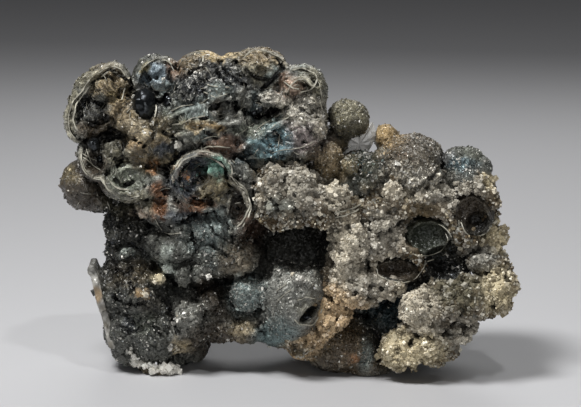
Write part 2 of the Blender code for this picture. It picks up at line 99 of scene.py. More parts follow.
# The crust's knobs, grains and pits: widths and heights
KNOB_WIDTH = 2.5
KNOB_HEIGHT = 2.2
GRAIN_WIDTH = 0.95
GRAIN_HEIGHT = 0.4
PIT_WIDTH = 3.1
PIT_DEPTH = 3.5

# The rhombs on the crust: how many on a square millimetre in front and behind, and their sizes
RHOMBS_FRONT = 2.15
RHOMBS_BEHIND = 0.35
RHOMB_SIZE = 0.42
RHOMB_LARGEST = 1.1
RHOMB_TONES = ("cream_grey", "cream", "tan", "grey_pale", "grey_brown", "brown")

# The upper left block's surface is a mesh of its own: its right and bottom ends, and how far the
# two meshes overlap
BLOCK_RIGHT = 10.5
BLOCK_BOTTOM = 35.5
BLOCK_OVERLAP = 2.0

# Lumps: across, up, depth, half width, half depth, half height, and lean to the right in degrees
ARSENIC_LUMPS = (
    # the upper left block's lobes, from left to right along the top
    (9, 69.2, -3, 7.3, 11.5, 10.3, 30), (23.8, 74.7, -2, 6.1, 10.5, 6.1),
    (34.5, 74.2, 1, 8, 13, 7.7), (42.5, 73.5, 1, 5, 13, 7.5), (49, 74.2, -1, 8.5, 12.5, 8.5),
    (59, 71.7, -3, 6.8, 11.5, 7),
    # its broken face
    (22, 62.2, -3, 10, 14, 10), (34.5, 66, -2, 11, 15, 10), (40.7, 62, -4, 8, 13.5, 8),
    (59, 63.5, -5, 7.4, 12.5, 6.8), (58.2, 58.5, -6, 7, 11, 4.6), (50, 59.7, -5, 8.8, 12, 6),
    (10.2, 56, -3, 6, 11.5, 6.6), (18.7, 49.8, -6, 9, 12.5, 5.6),
    (34.7, 49.3, -8.5, 7.9, 12.5, 7.8), (44, 42.5, -10.5, 3.9, 8.5, 6.3),
    (25.7, 43.5, -6, 7.5, 12, 5),
    # the pod at the left edge
    (5.4, 48.3, 1, 5.6, 7, 6), (9.2, 45.2, 1, 3.4, 6, 3.2),
    # the dark neck
    (17, 38.5, 0, 6.5, 9.5, 5.6), (17.7, 31.7, 0, 6.8, 9.5, 5.4),
    # the grey middle
    (28.2, 34.7, -3.5, 8.8, 13, 6.3), (38.2, 33.5, -3.5, 8.8, 13, 7.5),
    (45.2, 30.2, -9.5, 4.5, 5, 4.5), (43, 31, 6, 5.5, 8, 5.5), (17.5, 48, 6, 5, 6, 5),
    (37.5, 38.4, -7.5, 7, 9.5, 4.2), (29.6, 38, -6, 5.5, 9.5, 3.8),
    # the lower left block
    (12.9, 22.2, -1, 4.6, 11, 6.4), (19.5, 22.2, -3, 7.5, 12, 7.5),
    (16.2, 13.5, -2, 5.2, 11.5, 7.6), (23.2, 12.2, -3, 7.5, 12, 9.5), (30.7, 14.7, -1, 7, 13, 8.4),
    (24.5, 4.2, -4.5, 5.8, 8, 4), (17.5, 7.5, -3, 4.6, 8, 3.6), (31.5, 8, 4.5, 5.2, 7, 4),
    # the low middle and its balls
    (39.5, 16.4, 0, 7.5, 12.5, 6.8), (47, 14.2, -2, 5.5, 11, 4.8), (46, 21.5, -9.5, 4.3, 4.5, 4.3),
    (57.5, 20.5, -11.5, 7.7, 11, 11), (54.5, 15.2, 0, 8.8, 14, 6.8),
    # the wall behind the cavity
    (58, 31, 13, 15, 10, 13),
    # the right foot
    (70.5, 9.2, -2, 10.5, 13, 7.4), (76.3, 4.2, -5.5, 6.2, 9, 4.8), (75, 5, 6, 8.5, 10, 7),
    (64, 13.2, -1, 8.5, 12.5, 6.8), (61, 8.8, -6.5, 5.2, 7, 3.8), (66.5, 6.8, -5, 5.5, 8.5, 4.2),
    # the mass behind the crust
    (75.7, 29.7, 3, 12, 12.5, 15), (93.2, 38.5, 2, 13, 12.5, 13), (101.7, 44.5, 1, 6.2, 11, 8.8),
    (92, 23.5, 1, 11, 11.5, 8.8), (84.5, 15, 0, 8.5, 11, 8), (64.5, 47.2, 2, 10, 12, 7.5),
    (57, 44.7, 1, 10, 12, 7.5),
    # the domes and balls of the right hand top
    (87.2, 54, -4, 8.3, 12.5, 7.3), (74.5, 51.2, -3, 7, 11.5, 5.5), (100.2, 51.8, -1, 7, 11.5, 6.1),
    (71.8, 65, -2.5, 5.1, 5.1, 5.1), (68.2, 59.7, 1.5, 3.6, 5, 4), (66.2, 54.8, -8, 3.8, 5, 4.6),
    (81.2, 60, 6, 3.6, 4, 3.6),
    # the cups that show through the crust
    (102.2, 41.2, -10, 5.4, 7, 5.4), (91.8, 35.3, -10.5, 6.6, 7.5, 5.3),
    (83.6, 27, -11, 6.8, 7.5, 3.6), (95, 27, -8, 6.6, 7.5, 5.4),
)

# Botryoids of the back: across, up and radius, with their middles at this depth
BACK_DEPTH = 11.5
BACK_LUMPS = (
    (13, 66.5, 7.2), (22.5, 69, 7.6), (34, 70.5, 8.2), (47, 70, 8.6), (57.5, 67, 7.2),
    (14.5, 54.5, 7.4), (26.5, 56, 9.6), (40, 57, 10), (53, 56, 9), (19.5, 42.5, 7), (31, 42, 9.4),
    (45, 43.5, 9.6), (64.5, 49.5, 7.4), (20, 28, 8), (34, 27, 9), (22, 16.5, 7.8), (34.5, 17.5, 6),
    (76, 49, 6.6), (87, 48.5, 8.2), (98.5, 47.5, 7.2), (74, 36.5, 9.6), (89, 34, 10.2),
    (102, 38, 5.8), (72, 20.5, 9.6), (86, 21, 9), (96, 24.5, 6.6), (70, 10.5, 7.6), (81.5, 11, 6.4),
    (49, 24.5, 8), (60, 19, 7.4),
)

# Hollows, as the lumps: the broken shells' insides
HOLLOWS = (
    (9.2, 69.5, -14, 6.2, 8, 9, 30), (12, 59, -15, 4.4, 8.5, 3.7), (8, 54, -15, 2.7, 6, 3.2),
    (20.5, 67.7, -18, 3.8, 8, 4.4), (25.2, 69.2, -17.5, 1.7, 6, 2.4),
    (23.8, 75.2, -11, 4.7, 6, 4.5), (38, 67.7, -18, 1.6, 5, 1.5), (48.7, 68.4, -16.5, 2.4, 6, 3.2),
    (54.3, 72.6, -13.5, 3.2, 5, 1.9, -30), (50.5, 75, -12.5, 5.6, 3, 4.6),
    (59.4, 72.4, -13.5, 5, 3.6, 4.4), (34.8, 49.9, -20.5, 6.5, 8.5, 6.1),
    (43.9, 42.4, -19.5, 2.6, 7, 4.9), (17.2, 50.2, -19, 6.6, 5, 3.7), (24.4, 43.8, -19, 2, 5, 3.2),
    (35, 43.7, -20, 4, 6, 1.8), (61.6, 18.8, -23.5, 3.8, 3.2, 2.1, -15),
    (62.2, 16.4, -20.5, 3.4, 6.5, 1.4, -38),
)
# The cups that open through the crust, and the cavity in the middle
CUP_HOLLOWS = (
    (102.2, 41.2, -16.9, 4.4, 5.5, 4.4), (91.8, 35.3, -18.4, 5.5, 6, 4.1),
    (83.6, 27, -18.8, 5.6, 5.5, 2.3), (95.6, 28.4, -18, 5.4, 9, 4.6),
    (98.4, 31.4, -18, 2.6, 9, 3.4), (104, 39, -16, 3.2, 6.5, 3),
)
# Where the crust leaves the cups free
CRUST_WINDOWS = (
    (102.8, 40.6, -22, 4.9, 22, 5.2), (91.2, 35.3, -22, 5.9, 20, 4.6),
    (83.8, 26.9, -22, 6, 19, 2.7), (95.8, 29.2, -22, 6, 19, 5.2),
)
CAVITY = (
    (59, 33, -13, 9, 18, 5.9), (51, 28.6, -12, 2.2, 8, 4),
)

# Clefts: half width, how far each goes back, then places across, up and depth
CLEFTS = (
    (1, 3, (47.6, 52.5, -18), (48.2, 48.5, -17), (48.7, 44.5, -17)),
    (0.9, 3, (22, 24, -17), (26.5, 18, -16), (28.5, 12, -15)),
)

# Rims of the broken shells and ledges of the layered face: half width, how far the wall goes
# back behind it, then places
RIMS = (
    (0.55, 3, (4.5, 59.4, -8), (2.6, 60.5, -8), (1.5, 62.9, -8), (1.5, 66, -8), (2.5, 69, -8),
     (4.3, 71.5, -8), (7.9, 76, -8), (11.8, 78.2, -8), (14.6, 77.7, -8), (16.1, 75.7, -8)),
    (0.45, 3, (19.2, 76.8, -6), (20.4, 78.7, -6), (22.1, 79.9, -6), (24, 80.3, -6), (26, 79.8, -6),
     (27.6, 78.7, -6)),
    (0.45, 2, (46.4, 81, -5), (50, 81.9, -5), (54, 80.5, -5), (56.2, 78, -6)),
    (0.5, 3, (57.4, 77.6, -7), (60.5, 78, -7), (63.6, 76, -7), (65, 72.6, -7), (64.8, 69, -8)),
    (0.5, 2, (56, 71.5, -13), (57.4, 74.2, -12), (60.4, 75.2, -12), (63, 73.4, -12)),
    (0.5, 6, (28, 49.7, -18), (28.5, 52.2, -19), (30, 54.2, -19), (32, 55.8, -19), (35, 56.3, -19),
     (38.2, 55.6, -19), (40, 54.8, -19), (41.5, 53.2, -18), (42.2, 49.6, -17), (45.3, 46.5, -17),
     (46.4, 44, -17), (46.2, 41, -17), (44.6, 38.3, -17), (42, 37, -17)),
    (0.5, 5, (4.9, 57.2, -11), (5.1, 54, -11), (6.3, 51.6, -12), (8.3, 50.4, -13),
     (10.3, 50.4, -14), (11, 48.5, -15), (12.6, 46.8, -15), (14.6, 45.7, -15), (17, 45.2, -15),
     (19, 45.8, -16)),
)
LEDGES = (
    (0.4, 2, (27, 65.3, -16), (32, 67.5, -16), (38, 69.6, -15), (44.5, 69.8, -14)),
    (0.5, 2, (28.3, 61, -16), (34, 61.8, -17), (39.5, 63.6, -17), (44.5, 64.3, -16)),
    (0.6, 2, (44.5, 57.3, -15), (49, 60.2, -16), (53, 63, -16), (57.5, 65.5, -16)),
    (0.5, 2, (46, 55.2, -14), (52, 56, -15), (58, 57.6, -16), (64, 59.8, -15)),
)

# Balls and small lumps that sit in the hollows and on the face: across, up, depth and radius
SMALL_LUMPS = (
    # in the first lobe and the hollow under it
    (7.8, 66.2, -9, 2.5), (10.8, 72.2, -8, 3.2), (12.9, 67.5, -9.5, 2.4), (5.4, 63, -9.5, 2.2),
    (12.8, 56.8, -11, 2.6),
    # second lobe's balls, the gem and the pale crystal beside it
    (23.8, 77.3, -6.5, 2.7), (24.8, 74, -9, 2.4), (25.2, 56, -16.8, 1.5),
    # in the ring hollow
    (38.3, 52.7, -16.5, 2.1), (38.6, 48.6, -15.5, 3), (31.5, 50.5, -15, 2.4),
    (34, 47.5, -15.5, 2.2),
    # on the layered face
    (57.5, 73, -11.5, 2.2), (52, 70.2, -14.5, 2.2), (38.5, 71.7, -13.5, 3.2),
    (31, 71.5, -13.5, 2.6), (62.5, 63.5, -16.5, 1.6),
    # pale lumps beside the cleft
    (44, 52.5, -15.5, 2.4), (46.2, 50.8, -15.5, 2.2), (45.2, 48.6, -15.5, 2),
    # on the grey middle and the neck
    (26.5, 31.8, -14.8, 1.7), (26.6, 27.8, -13.8, 1.7), (24.3, 25.3, -13.5, 1.5),
    (15.8, 31.6, -9.5, 1.6), (12.6, 35.8, -7.5, 1.8), (30.5, 26, -13.5, 2.7),
    (34.5, 26.5, -13.8, 2.4), (31.6, 15.8, -13, 3.8), (36.5, 19.5, -12, 2.6), (41, 12.8, -11, 2.6),
    (43.5, 12, -10.5, 2.2),
    # sparkling lumps under the upper ball
    (72.2, 53.5, -13, 2.3), (76, 48.5, -13.5, 2.4),
    # knobs that break up the domes
    (80.4, 54.6, -11, 3.2), (77.4, 51.6, -13, 2.8), (104.6, 52.8, -8, 3), (98.4, 54.4, -7.5, 3.4),
    (102, 54.8, -7.5, 3.2), (88.6, 49.4, -15, 2.6), (92.4, 51.4, -13.5, 2.4),
)

CRUST_LUMPS = (
    # the pale lobe above the cavity
    (53, 47.2, -12.5, 4.6, 8, 6), (58.6, 47, -13, 5.6, 8, 6.4), (65.4, 44.2, -12, 5.6, 8, 4.8),
    (55.7, 41.7, -13, 6, 7, 3.2), (63.2, 41.5, -12.5, 6.5, 7, 3), (68.7, 45.2, -15.5, 2.9, 4, 3),
    # the crust to the right of the cavity
    (72, 41.2, -9.5, 6.2, 8, 4.5), (78.2, 42.4, -9.5, 6.2, 8, 5), (84.5, 44.7, -9.5, 6.2, 8, 4.2),
    (72.5, 33.5, -11, 5.8, 9, 7), (71.5, 24.7, -11, 6.5, 9, 7), (78.2, 34.7, -9.5, 7, 9, 7),
    (79.5, 24.6, -10.5, 7, 8, 4.4), (67, 17.2, -10.5, 5.5, 8, 5.5),
    (60.7, 11.2, -11.5, 4.5, 6, 3.4), (87, 34.5, -8.5, 6.5, 9, 6.5),
    # lumps that stand out of it
    (83, 46.8, -15.5, 2.6, 3, 2.2), (90, 45.5, -14, 2.4, 3, 2), (74, 35.8, -18, 2.6, 3, 2.4),
    (70.8, 30.4, -18, 2.4, 3, 2.6), (79.4, 38.6, -16.6, 2.8, 3, 2.2), (72, 21.8, -18, 2.6, 3, 2.2),
    # around the cups
    (94.5, 44.7, -8, 7, 8, 5), (101.8, 47.2, -6.5, 6.2, 8, 4.8), (105.4, 44, -4.5, 3.3, 8, 7),
    (98.2, 36, -8, 5.5, 7, 5), (107.9, 36, -6, 3, 4, 2.7), (104, 33.6, -6, 4.4, 5.5, 2.6),
    (104.6, 29.4, -8.5, 3.6, 6, 3.2), (108.9, 28.3, -9, 2.2, 4, 2.4),
    # the slab that leans out at the lower right
    (108.6, 22.8, -14, 4.2, 7, 4.3), (102, 20.4, -16, 6, 7, 5.3), (94.5, 18.6, -17, 6.5, 7, 5.6),
    (89.6, 17.2, -17, 4.2, 7, 5.4), (98.2, 13.7, -15, 5.4, 7, 4.4), (92, 10.2, -16, 6, 7, 5),
    (85, 7.7, -15, 5.4, 6.5, 4.6), (93.6, 7.2, -13, 4, 6, 3), (93, 14, -16.5, 6, 6.5, 4.6),
    (99, 16.8, -15, 5.4, 6.5, 4.4), (104.6, 19, -13, 4.2, 6, 4), (87.2, 12, -15.5, 3.4, 6, 3.6),
)

# Where the layers of the broken shells are centred: across, up and depth
LAYER_CENTRES = (
    (9, 69, -6), (24, 75, -4), (34, 75, -6), (42, 74, -8), (50, 75, -6), (59, 72, -8),
    (20, 66, -10), (32, 66, -6), (40, 68, -12), (38, 59, -8), (49, 66, -10), (47, 57, -6),
    (60, 66, -10), (59, 58, -8), (17, 50, -12), (12, 57, -8), (35, 50, -14), (44, 42, -12),
    (26, 44, -12), (28, 58, -10), (56, 33, 0),
)
LAYER_WIDTH = 1.05

# Thin edges that show as pale lines: half thickness, how far they stand out, then places across
# and up
FINE_RIMS = (
    # the outer edges of the lobes, the ring hollow and the bowl
    (0.17, 0.30, (4.5, 59.6), (2.8, 60.7), (1.7, 62.9), (1.6, 66), (2.6, 69), (4.4, 71.5),
     (7.9, 75.8), (11.8, 78), (14.5, 77.5), (16, 75.6)),
    (0.15, 0.30, (19.3, 76.8), (20.5, 78.5), (22.2, 79.6), (24, 80), (26, 79.6), (27.5, 78.5)),
    (0.15, 0.30, (57.4, 77.3), (60.5, 77.7), (63.4, 75.8), (64.7, 72.6), (64.7, 69), (65.4, 66)),
    (0.14, 0.30, (56.2, 71.5), (57.6, 74), (60.4, 75), (62.8, 73.3)),
    (0.16, 0.30, (27.4, 49.7), (27.9, 52.4), (29.5, 54.7), (31.8, 56.4), (35, 56.9), (38.4, 56.2),
     (40.6, 55.1), (42.2, 53.3), (42.9, 49.9), (45.8, 46.8), (47, 44), (46.8, 40.8), (45, 37.9)),
    (0.14, 0.30, (4.7, 57.2), (4.8, 54), (6.1, 51.3), (8.2, 50.1), (10.2, 50), (10.8, 48.2),
     (12.5, 46.4), (14.6, 45.3), (17, 44.8), (19, 45.4)),
    (0.12, 0.25, (6.2, 57.6), (6.9, 54.6), (8.9, 52.4)),
    (0.12, 0.25, (4.9, 56.4), (7, 55.2), (9.4, 54.6)),
    # the edges over the ledge at the block's right
    (0.13, 0.25, (49.8, 63.6), (53, 64.8), (57.5, 65.2), (61.5, 64.6), (65, 65)),
    (0.12, 0.25, (52, 56.6), (56, 57.4), (60.5, 58.2), (64.5, 60.6)),
    # the first lobe's second shell, and the blades beside the glossy ball
    (0.20, 0.30, (5.6, 60.8), (3.5, 62.8), (2.8, 65.5), (3.5, 68.5), (5.3, 71.3), (7.5, 73.8),
     (9.8, 75.8), (12, 77), (14, 76.5)),
    (0.15, 0.51, (15.7, 73), (15.3, 71.2), (14.8, 69.6)),
    (0.17, 0.63, (23, 70), (23.5, 67.8), (23.2, 65.4)),
    # the third lobe's top
    (0.17, 0.30, (31.5, 81), (33.5, 81.7), (35.8, 81.7)),
    (0.17, 0.39, (35.2, 80.8), (35, 79)),
    # crescents in the fourth and fifth lobes
    (0.17, 0.33, (44.9, 79.8), (46.5, 81.6), (48.5, 82.2), (51, 82), (53.5, 81), (55.5, 79.5),
     (56.2, 77.8)),
    (0.20, 0.39, (59.5, 71.5), (61.5, 72.2), (63.2, 73.6), (64, 75)),
    (0.17, 0.36, (55.5, 74.5), (57.5, 73), (59.5, 72.4)),
    # inside the two ring hollows
    (0.20, 0.42, (28.6, 52.3), (30.2, 54.5), (32.4, 55.7), (35.5, 55.7), (38.2, 54.7), (40, 53.4),
     (41, 51.7)),
    (0.17, 0.42, (42, 50.8), (44.5, 48.8), (46.3, 46.5), (46.9, 44), (46.3, 41.5), (45, 39.2),
     (43.5, 37.8)),
    (0.15, 0.45, (42.8, 44), (44.8, 44.2)),
    # the double rimmed bowl and the net under the first lobe
    (0.17, 0.36, (9.5, 50.7), (10.5, 48.7), (12.2, 47), (14.5, 45.7), (17, 45.2), (19.5, 46)),
    (0.17, 0.33, (11.2, 50.7), (12.5, 48.7), (14.5, 47.5), (17, 47.2)),
    (0.15, 0.36, (4.8, 57.2), (5, 54.7), (6, 52.2), (7.7, 50.5), (9.7, 50.5)),
    (0.14, 0.36, (5.2, 55.4), (7.4, 53.8), (9.6, 52)),
    # the angled lines under the rust
    (0.12, 0.33, (23, 40.2), (24, 38.5), (25.2, 36.8)),
    (0.12, 0.30, (25.2, 36.8), (27.5, 36.2), (29.5, 36.4)),
    # striations over the blue green patch
    (0.12, 0.12, (44, 57.8), (47, 59.6), (50, 61.3), (53.5, 63.8), (57, 65.7)),
    (0.12, 0.10, (43.5, 59.3), (46.5, 61), (49, 62.8), (52.5, 65.2), (55.5, 66.5)),
    (0.12, 0.10, (43, 60.6), (45.5, 62.1), (48, 64)),
    # waves of the layered face
    (0.17, 0.30, (26.8, 66.8), (30, 68.3), (34, 69), (37, 70.2)),
    (0.15, 0.30, (27.5, 63.5), (30.5, 64.2), (33.5, 65.6), (36, 65.8)),
    (0.15, 0.30, (34.5, 59.8), (38, 60.6), (41.5, 60.2)),
    (0.15, 0.30, (35, 57.6), (38.5, 58.3), (42.5, 57.6)),
    (0.15, 0.30, (36, 73.8), (39, 73), (42, 72.8)),
    (0.15, 0.30, (35.5, 71.6), (38.5, 70.6), (41.5, 71.2)),
    # the rim of the dish in the big ball
    (0.17, 0.33, (57.8, 15.3), (59.5, 13.7), (62, 13.5), (64, 15.2), (65.2, 17.7)),
    (0.15, 0.27, (58.5, 19.6), (61, 20.5), (63.5, 20.2)),
    # streaks on the big ball
    (0.12, 0.24, (53.6, 19.2), (55.4, 21), (57.6, 22.6)),
    (0.12, 0.24, (53.4, 21.6), (54.6, 23), (56.2, 24)),
    (0.12, 0.24, (55, 16.4), (56.2, 17.6), (57.4, 18.4)),
    # thin plates at the crust's left
    (0.18, 0.45, (67, 41.2), (70, 42), (72.5, 42.7), (75, 44)),
    (0.16, 0.40, (68, 40.2), (71.5, 41.2), (74.5, 42.5)),
    # rims of the cups
    (0.16, 0.39, (99.7, 39.3), (100.5, 37.3), (102, 36), (104.2, 35.8), (106.2, 36.8),
     (107.2, 38.8)),
    (0.12, 0.39, (99.3, 39.8), (99.2, 36.8)),
    (0.16, 0.42, (93.9, 38.8), (96.3, 37.3), (97.5, 35.3), (97.3, 33), (95.8, 31.3), (93.5, 30),
     (91, 29.5)),
    (0.14, 0.33, (95.9, 36.8), (96.4, 34.8), (95.4, 32.8), (93.7, 31.5), (90.8, 30.8),
     (87.5, 31.3)),
    (0.16, 0.39, (78.5, 27.8), (79, 26.3), (81, 25), (83.8, 24.3), (86.5, 24.5), (88.5, 25.5),
     (90, 27.3), (90.8, 29.3)),
)

# Dark cracks and pits of the face: half width, how deep, then places across and up
CRACKS = (
    (0.5, 1.8, (50, 72.3), (52.5, 74.8), (55, 77.2)),
    (0.55, 2.2, (43, 70.5), (43.3, 68.2), (43.5, 66.2)),
    (0.4, 1.2, (55.3, 65.2), (59.5, 64.8), (64.5, 65.3)),
    (0.45, 1.6, (40.7, 76.3), (43, 74.8), (45.7, 73.3)),
    (0.4, 1.4, (40, 74.5), (42.5, 73)),
    (0.6, 2, (22, 23.7), (24.5, 20.7), (27, 16.7), (29, 11.2)),
    (0.5, 1.5, (17.5, 49), (15, 48.2), (13.2, 49.6)),
    (0.6, 2.2, (95.2, 53.5), (92.5, 50.2), (89.5, 47.9), (84.5, 47), (77, 46.9)),
    (0.4, 1.2, (34.5, 65), (36.5, 65.2)),
    (0.4, 1.2, (35.5, 61.9), (38.5, 60.2)),
    (0.5, 1.6, (28.5, 72.5), (30.5, 70.5)),
    (0.6, 2.4, (26, 70.8), (25.9, 68.6)),
    (0.35, 1, (60.4, 73.8), (62.2, 74.6), (63.4, 74)),
    # across the tan plate and the lobes above it
    (0.45, 1.5, (16.5, 66.4), (20.5, 63.4), (24.5, 61.8), (27.8, 60.4)),
    (0.40, 1.4, (20.3, 58), (22.6, 60.2), (23.6, 64.2)),
    (0.40, 1.4, (14.2, 61.4), (17.4, 60.2), (20.5, 58.4)),
    (0.35, 1.2, (24.8, 56.6), (26.6, 59.8)),
    (0.40, 1.3, (31.6, 76.2), (34.6, 77.8), (38.4, 78.2)),
    (0.40, 1.3, (46, 77.2), (48.5, 75.4), (51.5, 74.8)),
    # across the grey middle and the lower left block
    (0.40, 1.4, (29.6, 37.6), (32.8, 35.2), (33.6, 31.4)),
    (0.40, 1.4, (35.8, 40.2), (38.4, 36.2), (42.6, 34.4)),
    (0.40, 1.3, (37.8, 33.2), (41, 30.4)),
    (0.45, 1.5, (13, 20.2), (16.5, 18.5), (21.2, 19.2)),
    (0.45, 1.5, (14, 12.6), (18, 11.4), (22, 13.6), (24.6, 11)),
    (0.40, 1.4, (16.2, 25.6), (17.6, 21.6), (16.8, 18.4)),
)
CRUST_CRACKS = (
    (0.7, 2.4, (95.5, 11.3), (97.5, 13.8), (99.5, 16.2)),
)

# Beads that sit on the face: across, up, radius, and how far their middle stands out
BEADS = (
    (29.2, 58.6, 1.5, 0.2), (13.7, 36, 1.6, 0.1), (20, 41.6, 1.3, 0), (21, 42.2, 1, 0.1),
    (36.5, 26, 0.9, 0.3), (19.6, 21.2, 1.1, 0), (50.8, 23, 0.7, 0.3), (50.6, 20.4, 0.7, 0.3),
    (63.6, 28.6, 1.3, 0.2), (64.6, 26.8, 1.1, 0.2), (62.8, 26.4, 0.9, 0.2), (96, 41.2, 1.1, 0.2),
    (25, 57.6, 1, 0.3), (52, 76.8, 1.4, 0.1), (47.4, 77.4, 1.6, 0), (44.6, 71.8, 1.5, 0),
    (28.8, 75.2, 1.4, 0), (32.4, 74, 1.2, 0.1), (35, 75.8, 1.1, 0.1), (41.5, 78.4, 1.6, 0),
    (30.4, 78.6, 1.6, 0), (26.8, 64.8, 1.2, 0.1), (46.5, 64.8, 1.3, 0.1), (23.6, 60.4, 1.1, 0.1),
    (31.4, 60.2, 1.3, 0), (56.4, 70, 1.3, 0.1), (54.6, 68.6, 1.1, 0.1), (24, 49.8, 1.5, 0),
    (29, 40.6, 1.4, 0), (40.4, 42, 1.5, 0), (37.4, 40.6, 1.3, 0), (33.2, 38.8, 1.2, 0),
    (43.2, 35.8, 1.3, 0), (22.6, 34.6, 1.6, 0), (19.4, 34, 1.3, 0), (31, 31.4, 1.4, 0),
    (39.8, 24.4, 1.4, 0), (34.8, 22.2, 1.3, 0), (40.6, 19.4, 1.2, 0), (27.6, 22, 1.3, 0),
    (15.6, 28.4, 1.6, 0), (18.8, 27.4, 1.4, 0), (12.6, 27.8, 1.4, 0), (14, 24.6, 1.2, 0),
    (47.8, 11.6, 1.3, 0), (50.2, 13, 1.1, 0), (66.4, 5.8, 1.2, 0), (69.8, 3.8, 1.2, 0),
    (106.6, 49.8, 1.2, 0.1), (58.8, 24.8, 1.6, 0), (61.6, 24, 1.4, 0),
)

# The glossy black balls: across, up, half width, half depth, half height, how far they stand out
GLOSSY_BALLS = (
    (20.6, 68.5, 3, 3, 4, 0.6), (8, 58.6, 1.5, 2, 1.7, 0.6), (26.6, 69.2, 1.3, 1.6, 1.9, 0),
    (47.9, 66.6, 1, 1, 1, 0.2), (49.6, 67.4, 0.8, 0.8, 0.8, 0.2), (61.2, 15.6, 1.2, 0.9, 0.7, 2),
    (9.6, 55.2, 1.2, 1.6, 1.2, 0),
)

# The colours of the minerals, as the surface's own sRGB
TONES = {
    "black": (16, 16, 15), "soot": (34, 33, 29), "druse": (46, 48, 50), "slate": (66, 72, 80),
    "grey": (112, 112, 106), "grey_dark": (76, 77, 72), "grey_pale": (142, 140, 132),
    "grey_green": (100, 104, 92), "grey_olive": (98, 94, 78), "grey_brown": (108, 99, 84),
    "grey_pink": (128, 118, 116), "olive": (112, 102, 78), "olive_yellow": (136, 124, 84),
    "olive_brown": (92, 80, 58), "tan": (140, 128, 104), "tan_brown": (118, 104, 80),
    "tan_yellow": (160, 142, 106), "tan_orange": (156, 132, 98), "ochre": (150, 126, 86),
    "brown": (78, 66, 50), "brown_dark": (56, 48, 38), "red_brown": (92, 70, 56),
    "rust": (118, 80, 52), "orange": (172, 122, 80), "pink_tan": (146, 128, 112),
    "pink_brown": (124, 102, 86), "teal": (88, 112, 114), "teal_pale": (128, 138, 133),
    "teal_grey": (106, 116, 114), "teal_blue": (104, 132, 140), "teal_black": (30, 44, 48),
    "teal_green": (100, 140, 126), "blue_dark": (44, 52, 68), "blue_grey": (100, 112, 120),
    "green_black": (38, 42, 34), "cream": (196, 188, 170), "cream_grey": (158, 153, 141),
    "cream_pink": (186, 170, 152), "yellow_cream": (194, 182, 152), "white": (214, 211, 202),
    "rim": (152, 149, 136), "rim_light": (186, 182, 166), "charcoal": (58, 59, 55),
    "dust_and_highlight": (140, 137, 124), "frost": (150, 156, 148), "umber": (88, 82, 72),
    "cream_tan": (194, 170, 136),
}

# How much lighter the arsenic is than its tones, to make up for the painted shade in its hollows
ARSENIC_GAIN = 1.15
